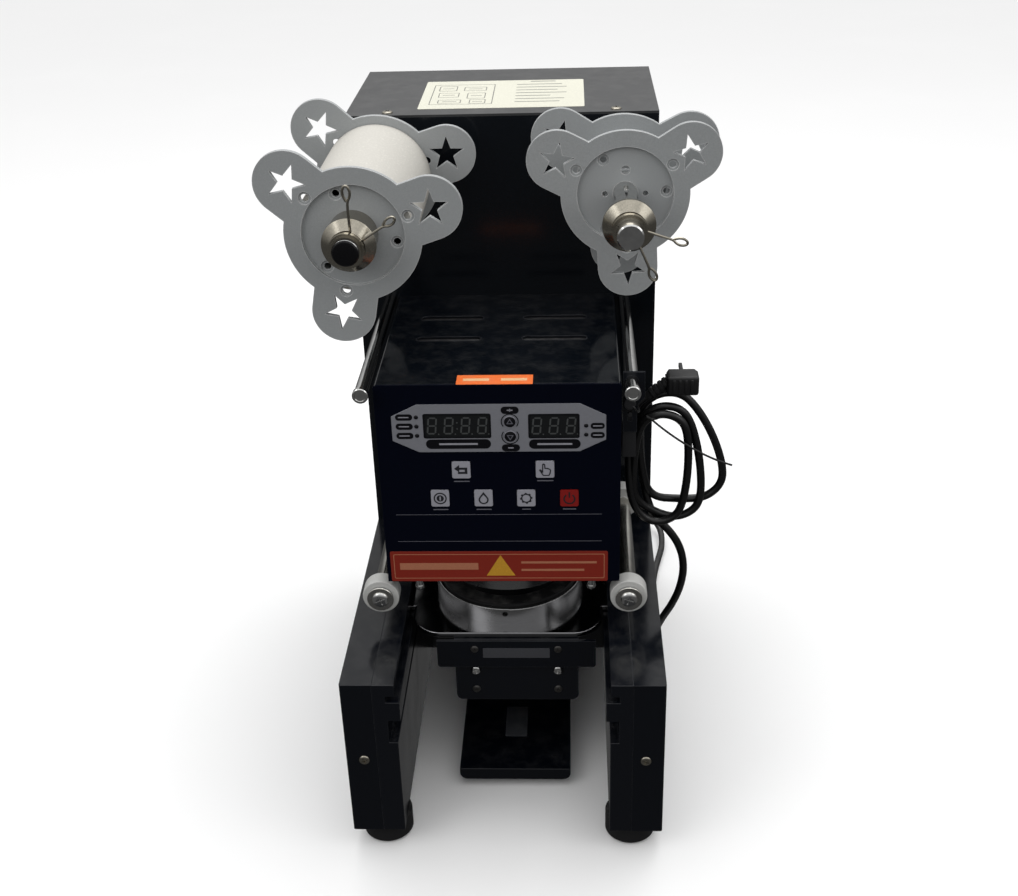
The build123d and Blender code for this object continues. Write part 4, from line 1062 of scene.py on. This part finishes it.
# ----------------------------------------------------------------------------------------------------
# Control panel
# ----------------------------------------------------------------------------------------------------
@dataclass
class ControlPanel:
    """Displays, pills, signs on the keys and the strip across the head's front."""

    face: float = -140.5
    bezel: float = -141.3
    square_key: float = -141.1
    round_key: float = -141.9
    digit: Pair = (7.5, 14.8)
    windows: list[tuple[Pair, Pair]] = field(default_factory=lambda: [
        ((-31.5, 366.6), (25.0, 9.6)), ((43.0, 366.0), (18.5, 9.5)),
    ])
    count_digits: tuple[float, ...] = (-19.4, -6.5, 6.5, 19.4)
    heat_digits: tuple[float, ...] = (-13.1, 0.0, 13.1)
    left_rows: tuple[float, ...] = (374.3, 366.4, 358.4)
    right_rows: tuple[float, ...] = (365.9, 358.0)
    up_key: Pair = (9.2, 370.0)
    down_key: Pair = (9.3, 357.4)
    stop_key: Pair = (-47.8, 302.3)
    drop_key: Pair = (-13.4, 300.9)
    gear_key: Pair = (20.4, 302.1)
    power_key: Pair = (54.4, 301.3)
    marks: float = 0.05
    sign_height: float = 0.08

    def front(
        self, name: str, outlines: Sequence[Sequence[Pair]], y: float, thick: float
    ) -> bpy.types.Object:
        """A flat figure standing on a front face.

        Args:
            name: object name.
            outlines: its outlines, X and Z in millimetres.
            y: depth of the face that it stands on.
            thick: thickness.

        Returns:
            The new piece.
        """
        return flat_shape(name, outlines, (0.0, y, 0.0), Facing.FRONT, thick)

    def segments(self, x: float, z: float) -> list[list[Pair]]:
        """Seven bars of one digit, leaning slightly.

        Args:
            x: the digit's centre across.
            z: the digit's centre in height.

        Returns:
            Seven outlines.
        """
        wide, high = self.digit[0] / 2 - 0.7, self.digit[1] / 2 - 0.7
        gap = 0.35
        level = [(-wide + gap, wide - gap, row) for row in (-high, 0.0, high)]
        upright = [(column, low + gap, top - gap) for column in (-wide, wide)
                   for low, top in ((-high, 0.0), (0.0, high))]
        half = 0.65
        bars = []
        for left, right, row in level:
            bars.append([
                (left, row), (left + half, row + half), (right - half, row + half),
                (right, row), (right - half, row - half), (left + half, row - half),
            ])
        for column, low, top in upright:
            bars.append([
                (column, low), (column - half, low + half), (column - half, top - half),
                (column, top), (column + half, top - half), (column + half, low + half),
            ])
        return [[(x + across + 0.1 * up, z + up) for across, up in shape] for shape in bars]

    def displays(self) -> None:
        """Glaze both displays and set their digits."""
        glass = 0.45
        panes = [rounded(middle, half, 0.8) for middle, half in self.windows]
        pane = self.front("display_panes", panes, self.face, glass)
        complete(pane, WINDOW_DARK, "casing")
        bars = []
        for (middle, _), offsets in zip(self.windows, (self.count_digits, self.heat_digits)):
            x, z = middle
            for offset in offsets:
                bars += self.segments(x + offset, z)
                bars.append(ring((x + offset + 4.9, z - 7.2), 0.6, steps=10))
        x, z = self.windows[0][0]
        bars += [ring((x, z + offset), 0.65, steps=10) for offset in (-2.6, 2.6)]
        digits = self.front("display_digits", bars, self.face - glass, 0.06)
        complete(digits, DIGIT_GREY, "casing", smooth=False)

    def pills(self) -> None:
        """Set the blank name pills and the outline round the round keys."""
        shapes = [
            rounded((-31.0, 351.0), (25.2, 4.1), 4.0), rounded((43.5, 350.5), (19.9, 4.1), 4.0),
            rounded((9.4, 379.8), (6.9, 3.1), 3.0), rounded((9.5, 347.4), (7.0, 3.1), 3.0),
        ]
        shapes += [rounded((-72.2, z), (6.6, 2.7), 2.6) for z in self.left_rows]
        shapes += [rounded((76.5, z), (5.4, 2.6), 2.5) for z in self.right_rows]
        for middle, half in self.windows:
            shapes += [rounded(middle, (half[0] + 1.2, half[1] + 1.0), 1.6), rounded(middle, half, 0.8)]
        thick = 0.12
        pills = self.front("name_pills", shapes, self.bezel, thick)
        complete(pills, PILL_BLACK, "casing", smooth=False)
        waist = [band(self.up_key, 6.5, 0.8, -38.0, 218.0), band(self.down_key, 6.5, 0.8, 142.0, 398.0)]
        outline = self.front("key_waist", waist, self.bezel, 0.1)
        complete(outline, PILL_BLACK, "casing", smooth=False)
        bars = [bar((-46.0, 351.0), (-16.0, 351.0), 1.5), bar((30.0, 350.5), (57.0, 350.5), 1.5)]
        bars += [bar((7.2, 379.8), (11.6, 379.8), 0.9), bar((9.4, 378.6), (9.4, 381.0), 0.9)]
        bars += [bar((7.3, 347.4), (11.7, 347.4), 0.9)]
        bars += [bar((-76.5, z), (-68.5, z), 0.8) for z in self.left_rows]
        bars += [bar((73.0, z), (80.0, z), 0.8) for z in self.right_rows]
        lines = self.front("pill_marks", bars, self.bezel - thick, self.marks)
        complete(lines, KEY_GREY, "casing", smooth=False)

    def lamps(self) -> None:
        """Cap the small lights."""
        places = [(-62.8, z) for z in self.left_rows] + [(67.7, z) for z in (366.1, 358.4)]
        profile = [(0, -0.4), (1.7, -0.4), (1.7, 0.15), (1.2, 0.6), (0.6, 0.8), (0, 0.85)]
        caps = []
        for x, z in places:
            caps.append(lathe("lamp_cap", profile, (x, self.bezel, z), Facing.FRONT, 16))
        complete(join("lamp_caps", caps), PILL_BLACK, "casing")

    def key_signs(self) -> None:
        """Draw a plain sign on each square key."""
        arrow = [
            [
                (-35.5, 329.0), (-31.5, 332.4), (-31.5, 330.0), (-25.2, 330.0), (-25.2, 324.4),
                (-32.6, 324.4), (-32.6, 326.2), (-27.2, 326.2), (-27.2, 328.1), (-31.5, 328.1),
                (-31.5, 325.8),
            ],
        ]
        hand = [
            [
                (33.4, 332.9), (34.9, 333.3), (35.8, 332.4), (36.0, 329.4), (37.6, 329.4), (38.6, 328.9),
                (39.8, 328.4), (40.3, 327.0), (40.0, 324.6), (38.9, 322.2), (33.9, 322.2), (32.3, 325.0),
                (30.9, 327.2), (31.4, 328.2), (32.4, 327.9), (33.3, 326.9),
            ],
            [
                (34.3, 332.0), (34.9, 332.0), (35.1, 328.5), (38.0, 328.2), (39.4, 327.2), (39.0, 324.6),
                (38.3, 323.1), (34.5, 323.1), (33.2, 325.2), (34.2, 325.0),
            ],
        ]
        x, z = self.drop_key
        drop = [
            [(x, 308.0)] + ring((x, z), 4.0, 35.0, -215.0, 22),
            [(x, 305.6)] + ring((x, z), 2.8, 35.0, -215.0, 22),
        ]
        stop = [
            band(self.stop_key, 4.7, 1.1, 0.0, 359.9, 30),
            ring(self.stop_key, 2.9, steps=24),
            rounded(self.stop_key, (0.55, 1.9), 0.5),
        ]
        power = [
            band(self.power_key, 4.2, 1.2, 125.0, 415.0),
            rounded((self.power_key[0], 304.9), (0.6, 2.6), 0.55),
        ]
        gear = [self.teeth(), ring(self.gear_key, 3.1, steps=24)]
        signs = {"back_key": arrow, "hand_key": hand, "stop_key": stop, "drop_key": drop,
                 "settings_key": gear, "power_key": power}
        for key, shapes in signs.items():
            piece = self.front(key + "_sign", shapes, self.square_key, self.sign_height)
            complete(piece, SIGN_DARK, key, smooth=False)

    def teeth(self) -> list[Pair]:
        """Outline of the toothed wheel on the settings key.

        Returns:
            The outline's points in order.
        """
        x, z = self.gear_key
        points = []
        for step in range(32):
            radius = 5.0 if step % 4 < 2 else 4.1
            angle = math.radians(step * 11.25)
            points.append((x + radius * math.cos(angle), z + radius * math.sin(angle)))
        return points

    def round_keys(self) -> None:
        """Cap both round keys and draw a hollow triangle on each."""
        up = [[(6.5, 368.5), (11.9, 368.5), (9.2, 373.0)], [(7.6, 369.1), (10.8, 369.1), (9.2, 371.8)]]
        down = [[(6.6, 358.9), (9.3, 354.4), (12.0, 358.9)], [(7.7, 358.3), (9.3, 355.6), (10.9, 358.3)]]
        tall = 0.5
        profile = [(0, -0.3), (4.5, -0.3), (4.5, 0.15), (4.1, 0.4), (0, tall)]
        for key, shapes, middle in (("up_key", up, self.up_key), ("down_key", down, self.down_key)):
            cap = lathe(key + "_cap", profile, (middle[0], self.round_key, middle[1]), Facing.FRONT, 32)
            complete(cap, PILL_BLACK, key)
            piece = self.front(key + "_sign", shapes, self.round_key - tall, self.sign_height)
            complete(piece, SIGN_GREY, key, smooth=False)

    def key_names(self) -> None:
        """Underline each key where its name would stand."""
        bars = [bar((x - half, z), (x + half, z), 0.9) for x, z, half in (
            (-30.0, 317.4, 6.2), (35.6, 317.6, 6.4), (-47.8, 291.8, 6.0), (-13.4, 291.8, 6.0),
            (20.4, 291.8, 3.4), (54.4, 291.8, 5.2))]
        bars += [bar((-84.0, z), (80.0, z), 0.35) for z in (287.0, 262.0)]
        lines = self.front("key_name_lines", bars, self.face, self.sign_height)
        complete(lines, SIGN_GREY, "casing", smooth=False)

    def strip(self) -> None:
        """Stick the coloured strip across the head."""
        low, high = (-91.5, 223.9), (85.0, 252.5)
        middle = ((low[0] + high[0]) / 2, (low[1] + high[1]) / 2)
        half = ((high[0] - low[0]) / 2, (high[1] - low[1]) / 2)
        thick = 0.25
        sheet = self.front("front_strip", [rounded(middle, half, 1.5)], self.face, thick)
        complete(sheet, STRIP_RED, "casing", smooth=False)
        border = [rounded(middle, (half[0] - 2.6, half[1] - 2.6), 1.2)]
        border.append(rounded(middle, (half[0] - 3.2, half[1] - 3.2), 1.0))
        bars = [bar((-84.0, 238.2), (-20.0, 238.2), 6.4)]
        bars += [bar((15.0, 241.8), (76.0, 241.8), 2.0), bar((15.0, 234.6), (66.0, 234.6), 2.0)]
        marks = self.front("strip_marks", border + bars, self.face - thick, 0.06)
        complete(marks, STRIP_TAN, "casing", smooth=False)
        triangle = [[(-13.5, 229.2), (10.0, 229.2), (-1.8, 248.8)]]
        sign = self.front("strip_triangle", triangle, self.face - thick, self.sign_height)
        complete(sign, WARN_YELLOW, "casing", smooth=False)

    def build(self) -> None:
        """Make the whole panel."""
        self.displays()
        self.pills()
        self.lamps()
        self.key_signs()
        self.round_keys()
        self.key_names()
        self.strip()
        LOG.info("control panel made")


# ----------------------------------------------------------------------------------------------------
# Screws, labels and small metal
# ----------------------------------------------------------------------------------------------------
@dataclass
class Screw:
    """Pan head screw with a cross recess."""

    radius: float = 4.5
    tall: float = 1.6
    recess: float = 2.6

    def pattern(self) -> bpy.types.Object:
        """Model one screw at the origin, facing up.

        Returns:
            The pattern screw.
        """
        r, h = self.radius, self.tall
        profile = [(0, -4.0), (r * 0.42, -4.0), (r * 0.42, 0), (r, 0), (r, h * 0.3), (r * 0.93, h * 0.62),
                   (r * 0.78, h * 0.85), (r * 0.5, h), (0, h)]
        head = lathe("screw_pattern", profile, (0, 0, 0), Facing.TOP, 28)
        wide, slim, deep = self.recess, 0.42, h - 1.1
        for across, along in ((wide, slim), (slim, wide)):
            cut(head, block("recess", (-across, -along, deep), (across, along, h + 1.0)))
        close_mesh(head)
        return head


def screws(name: str, kind: Screw, places: Sequence[tuple[Triple, Facing]]) -> bpy.types.Object:
    """Set copies of one screw, each turned a little differently.

    Args:
        name: name of the joined screws.
        kind: the screw.
        places: place and facing of each.

    Returns:
        All the screws as one piece.
    """
    pattern = kind.pattern()
    copies = []
    for index, (place, facing) in enumerate(places):
        turn = Matrix.Rotation(math.radians(23.0 + 47.0 * index), 4, "Z")
        copies.append(twin(pattern, facing.matrix(place) @ turn))
    bpy.data.objects.remove(pattern)
    return join(name, copies)


@dataclass
class Casing:
    """Casing screws, labels, rims of the vents and the pad on the cup platform."""

    side: float = 130.0
    front: float = -211.5
    back: float = 211.5
    roof: float = 560.0
    head_top: float = 401.0
    vents: tuple[Pair, ...] = ((-43.0, -52.5), (43.0, -52.5), (-43.0, -8.5), (43.0, -8.5))
    paper: float = 0.25
    orange: float = 0.2
    ink: float = 0.05

    def casing_screws(self) -> None:
        """Set all the casing's screws."""
        places = [((sign * 115.0, self.front, 96.0), Facing.FRONT) for sign in (-1, 1)]
        for sign, facing in ((-1, Facing.LEFT), (1, Facing.RIGHT)):
            for y, z in ((59.0, 60.0), (59.0, 520.0), (197.5, 60.0), (197.5, 280.0), (197.5, 520.0)):
                places.append(((sign * self.side, y, z), facing))
        places += [((x, 54.5, self.roof), Facing.TOP) for x in (-95.0, 95.0)]
        places += [((x, self.back, z), Facing.BACK) for x in (-118.0, 118.0) for z in (40.0, 535.0)]
        piece = screws("cross_screws", Screw(), places)
        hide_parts("casing_screws")
        complete(piece, NICKEL, "casing")

    def roof_label(self) -> None:
        """Stick the cream label on the roof, with a framed drawing and rows of bars."""
        edge = rounded((-1.0, 113.5), (70.0, 50.0), 2.0)
        paper = flat_shape("roof_label", [edge], (0, 0, self.roof), Facing.TOP, self.paper)
        complete(paper, LABEL_CREAM, "casing", smooth=False)
        marks = [rounded((-36.0, 113.5), (27.0, 36.0), 1.5), rounded((-36.0, 113.5), (26.2, 35.2), 1.2)]
        pictures = [
            (-50.0, 135.0, 8.0, 9.0), (-26.0, 133.0, 10.0, 7.0), (-48.0, 111.0, 9.0, 8.0),
            (-24.0, 108.0, 8.0, 10.0), (-46.0, 88.0, 10.0, 6.0), (-22.0, 87.0, 7.0, 7.0),
        ]
        for x, y, wide, high in pictures:
            marks += [rounded((x, y), (wide, high), 1.5), rounded((x, y), (wide - 0.8, high - 0.8), 1.0)]
            marks.append(bar((x - wide * 0.6, y), (x + wide * 0.6, y), 1.2))
        for row, length in enumerate((40.0, 44.0, 36.0, 44.0, 30.0, 42.0, 38.0)):
            up = 147.0 - 10.6 * row
            marks.append(bar((10.0, up), (10.0 + length, up), 1.8))
        marks.append(bar((22.0, 158.0), (44.0, 158.0), 2.2))
        ink = flat_shape("roof_label_ink", marks, (0, 0, self.roof + self.paper), Facing.TOP, self.ink)
        complete(ink, LABEL_INK, "casing", smooth=False)

    def head_label(self) -> None:
        """Stick the orange label on the head."""
        top = self.head_top
        edge = rounded((-1.8, -131.6), (29.2, 8.3), 0.8)
        paper = flat_shape("head_label", [edge], (0, 0, top), Facing.TOP, self.orange)
        complete(paper, LABEL_ORANGE, "casing", smooth=False)
        marks = [bar((-26.0, -131.6), (-6.0, -131.6), 4.4), bar((3.0, -131.6), (23.0, -131.6), 4.4)]
        ink = flat_shape("head_label_ink", marks, (0, 0, top + self.orange), Facing.TOP, self.ink)
        complete(ink, LABEL_PALE, "casing", smooth=False)

    def vent_rims(self) -> None:
        """Roll a thin rim round each vent slot."""
        shapes = []
        for x, y in self.vents:
            shapes += [rounded((x, y), (26.9, 4.9), 4.8, 10), rounded((x, y), (26.0, 4.0), 3.95, 10)]
        rims = flat_shape("vent_rims", shapes, (0, 0, self.head_top), Facing.TOP, 0.35)
        soften(rims, 0.12, 1)
        complete(rims, RAIL_PAINT, "casing")

    def vent_screen(self) -> None:
        """Lay a thin dark sheet just under the vent slots."""
        dark_sheet = block("vent_screen", (-72.0, -62.0, 398.2), (72.0, 2.0, 399.2), 0.3)
        complete(dark_sheet, SENSOR_BLACK, "casing")

    def pad(self) -> None:
        """Lay the small pad on the cup platform."""
        pad = block("platform_pad", (-6.5, -91.5, 20.0), (13.5, -49.5, 20.8), 0.3)
        complete(pad, PAD_GREY, "casing")

    def build(self) -> None:
        """Make all of the casing's small pieces."""
        self.casing_screws()
        self.roof_label()
        self.head_label()
        self.vent_rims()
        self.vent_screen()
        self.pad()
        LOG.info("casing details made")


@dataclass
class FilmPath:
    """Caps of the guide rods, screws and sleeves of the rollers, and the bracket's knob."""

    rod: Pair = (102.5, 398.0)
    rod_end: float = -149.5
    roller: Pair = (102.5, 206.0)
    roller_front: float = -137.5
    axle_end: float = -140.6
    knob: Triple = (101.0, -132.4, 381.0)

    def build(self) -> None:
        """Make the film path's small pieces."""
        profile = [(0, -1.0), (5.9, -1.0), (6.2, -0.6), (6.2, 3.0), (5.6, 3.6), (4.3, 3.6), (4.0, 3.0),
                   (0, 2.9)]
        caps = []
        for sign in (-1, 1):
            place = (sign * self.rod[0], self.rod_end, self.rod[1])
            caps.append(lathe("rod_cap", profile, place, Facing.FRONT, 36))
        complete(join("rod_caps", caps), BRIGHT_CHROME, "casing")
        places = [((sign * self.roller[0], self.axle_end, self.roller[1]), Facing.FRONT) for sign in (-1, 1)]
        heads = screws("roller_screws", Screw(7.0, 3.0, 4.2), places)
        complete(heads, BRIGHT_CHROME, "casing")
        profile = [(4.3, -0.1), (10.8, -0.1), (11.1, 0.3), (10.8, 0.8), (4.3, 0.8), (4.3, -0.1)]
        washers = [lathe("washer", profile, place, facing, 40) for place, facing in places]
        complete(join("roller_washers", washers), SLEEVE_METAL, "casing")
        bore, wall = 6.95, 7.2
        profile = [(bore, 15.0), (7.5, 15.0), (7.5, 16.5), (wall, 17.0), (wall, 151.0), (bore, 151.0),
                   (bore, 15.0)]
        for sign, side in ((-1, "left"), (1, "right")):
            place = (sign * self.roller[0], self.roller_front, self.roller[1])
            sleeve = lathe(side + "_roller_sleeve", profile, place, Facing.BACK, 40)
            complete(sleeve, SLEEVE_METAL, side + "_roller")
        profile = [(0, -1), (4.4, -1), (4.9, -0.4), (4.9, 2.6), (4.2, 3.4), (0, 3.4)]
        knob = lathe("bracket_knob", profile, self.knob, Facing.FRONT, 10)
        complete(knob, SENSOR_BLACK, "casing")
        LOG.info("film path made")


@dataclass
class Reels:
    """Wire clips on the collars and the plug in the feed spindle's end."""

    feed: Pair = (-102.0, 515.0)
    takeup: Pair = (100.0, 512.5)
    clip_radius: float = 12.4

    def clip(
        self, name: str, centre: Pair, y: float, reach: Sequence[Pair], other: Sequence[Pair]
    ) -> bpy.types.Object:
        """Bend one wire clip: a ring in the collar's groove with two looped handles.

        Args:
            name: object name.
            centre: spindle axis, X and Z.
            y: depth of the ring.
            reach: from where the first handle leaves the ring to its tip.
            other: from where the second handle leaves the ring to its tip.

        Returns:
            The clip.
        """
        start, end = (math.degrees(math.atan2(line[0][1] - centre[1], line[0][0] - centre[0]))
                      for line in (other, reach))
        if end < start:
            end += 360.0
        around = [(x, y - 0.6, z) for x, z in ring(centre, self.clip_radius, start, end, 22)]
        points = self.handle(other, y, True) + around + self.handle(reach, y - 1.4, False)
        return wire(name, points, 1.0)

    def handle(self, line: Sequence[Pair], y: float, inward: bool) -> list[Triple]:
        """Points of a handle that ends in a loop.

        Args:
            line: start at the ring, and tip.
            y: depth of the handle.
            inward: whether the points run from the tip to the ring.

        Returns:
            Points in order.
        """
        (x0, z0), (x1, z1) = line
        length = math.hypot(x1 - x0, z1 - z0)
        ux, uz = (x1 - x0) / length, (z1 - z0) / length
        nx, nz = -uz, ux
        shape = [
            (0.35, 0.0), (0.66, -0.2), (0.74, -2.2), (0.86, -2.9), (0.97, -1.6),
            (1.0, 0.6), (0.93, 2.4), (0.82, 2.7), (0.72, 1.6), (0.66, 0.4),
        ]
        points = []
        for along, across in shape:
            reach = along * length
            x = x0 + ux * reach + nx * across
            z = z0 + uz * reach + nz * across
            points.append((x, y - 1.0 - 0.6 * along, z))
        return points[::-1] if inward else points

    def build(self) -> None:
        """Make the clips and end plugs."""
        left = self.clip("feed_clip", self.feed, -153.5, ((-98.5, 527.5), (-99.1, 562.0)),
                         ((-91.0, 521.0), (-66.4, 537.7)))
        complete(left, NICKEL, "feed_retainer")
        right = self.clip("takeup_clip", self.takeup, -112.5, ((112.0, 511.0), (142.6, 501.8)),
                          ((106.5, 501.5), (119.7, 472.9)))
        complete(right, NICKEL, "takeup_clamp")
        profile = [(0, -1), (9.2, -1), (9.6, 0.0), (9.6, 0.8), (8.8, 1.6), (7.0, 1.9), (0, 2.0)]
        plug = lathe("feed_end_plug", profile, (self.feed[0], -163.5, self.feed[1]), Facing.FRONT, 36)
        complete(plug, END_BLACK, "feed")
        LOG.info("reel details made")


@dataclass
class TrayDetails:
    """Screws and blank label of the tray's door."""

    door: float = -129.5
    bracket: float = -126.5
    middle: float = 8.0
    spread: float = 35.5

    def pair(self, y: float, z: float) -> list[tuple[Triple, Facing]]:
        """Places of two screws, one at each side of the door.

        Args:
            y: depth of the face that they stand on.
            z: their height.

        Returns:
            Place and facing of both.
        """
        return [((self.middle + sign * self.spread, y, z), Facing.FRONT) for sign in (-1, 1)]

    def build(self) -> None:
        """Make the door's small pieces."""
        small = screws("door_screws_dark", Screw(3.4, 1.4, 2.0), self.pair(self.door, 147.0))
        complete(small, SCREW_DARK, "tray")
        large = screws("door_screws_bright", Screw(4.4, 2.4, 2.7), self.pair(self.bracket, 123.0))
        complete(large, BRIGHT_CHROME, "tray")
        lower = screws("bracket_screws_dark", Screw(3.6, 1.4, 2.2), self.pair(self.bracket, 102.6))
        complete(lower, SCREW_DARK, "tray")
        edge = rounded((self.middle, 143.0), (28.5, 5.0), 1.0)
        label = flat_shape("door_label", [edge], (0, self.door, 0), Facing.FRONT, 0.2)
        complete(label, DOOR_LABEL_GREY, "tray", smooth=False)
        LOG.info("tray details made")


# ----------------------------------------------------------------------------------------------------
# Finishes of the CAD nodes
# ----------------------------------------------------------------------------------------------------
NODE_FINISHES: dict[Finish, str] = {
    BLACK_PAINT: "left_side_cover right_side_cover base_plate cup_platform door_plate",
    ROOF_PAINT: "rear_cover",
    HEAD_PAINT: "head_shell",
    TOWER_PAINT: "tower_front_panel",
    RAIL_PAINT: "left_arm_rail right_arm_rail door_bracket sensor_bracket",
    PANEL_FOIL: "head_front_plate",
    BEZEL_SILVER: "control_bezel",
    BOARD_GREEN: "control_board",
    ZINC_STEEL: "press_frame power_supply die_carriage press_crank cutter_ring tray_rack roller_axles"
                " spindle_bearings",
    BRIGHT_CHROME: "guide_posts locating_pins guide_rods feed_spindle takeup_spindle",
    NICKEL: "feed_collar takeup_collar",
    RING_METAL: "cup_ring heat_die",
    TRAY_METAL: "tray_plate",
    REEL_GREY: "feed_rear_plate feed_front_plate takeup_rear_plate takeup_front_plate",
    CORE_CARD: "film_core",
    BLACK_RUBBER: "rubber_feet ring_gasket",
    KEY_GREY: "back_key settings_key hand_key stop_key drop_key up_key down_key",
    KEY_RED: "power_key",
    ROLLER_WHITE: "left_film_roller right_film_roller",
    MOTOR_BLACK: "press_gearmotor tray_gearmotor takeup_gearmotor",
    BRASS_GEAR: "drive_pinion",
    SENSOR_BLACK: "film_sensor",
}
EDGE_WIDTHS: dict[float, str] = {
    0.55: "left_side_cover right_side_cover rear_cover left_arm_rail right_arm_rail cup_platform",
    1.0: "tray_plate",
    0.4: "head_shell door_plate door_bracket sensor_bracket film_sensor",
    0.7: "feed_rear_plate feed_front_plate takeup_rear_plate takeup_front_plate",
    0.3: "back_key settings_key hand_key stop_key drop_key power_key head_front_plate control_bezel",
}


def node_object(name: str) -> bpy.types.Object:
    """Find the object of a CAD node.

    Args:
        name: the node's name.

    Returns:
        Its object.
    """
    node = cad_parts[name]
    return node if isinstance(node, bpy.types.Object) else bpy.data.objects[name]


def dress_nodes() -> None:
    """Give the listed CAD nodes their finishes, and soft, light-catching edges to those in EDGE_WIDTHS."""
    for finish, names in NODE_FINISHES.items():
        for name in names.split():
            dress(node_object(name), finish)
    for width, names in EDGE_WIDTHS.items():
        for name in names.split():
            piece = node_object(name)
            weld = piece.modifiers.new("weld", "WELD")
            weld.merge_threshold = WELD_DISTANCE
            flat = piece.modifiers.new("flat", "DECIMATE")
            flat.decimate_type = "DISSOLVE"
            flat.angle_limit = FLAT_ANGLE
            bevel = piece.modifiers.new("edges", "BEVEL")
            bevel.width = width * MM
            bevel.segments = 2
            bevel.limit_method = "ANGLE"
            bevel.angle_limit = SMOOTH_ANGLE
            even = piece.modifiers.new("even", "WEIGHTED_NORMAL")
            even.weight = 100
            even.keep_sharp = False
            piece.data.shade_smooth()
    LOG.info("CAD nodes dressed")


def main() -> None:
    """Make everything in order."""
    logging.basicConfig(level=logging.INFO, format="%(name)s %(message)s")
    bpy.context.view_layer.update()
    Studio().build()
    MainsCord().build()
    dress_nodes()
    for part in (ControlPanel(), Casing(), FilmPath(), Reels(), TrayDetails()):
        part.build()
    deselect()


if __name__ == "__main__":
    main()
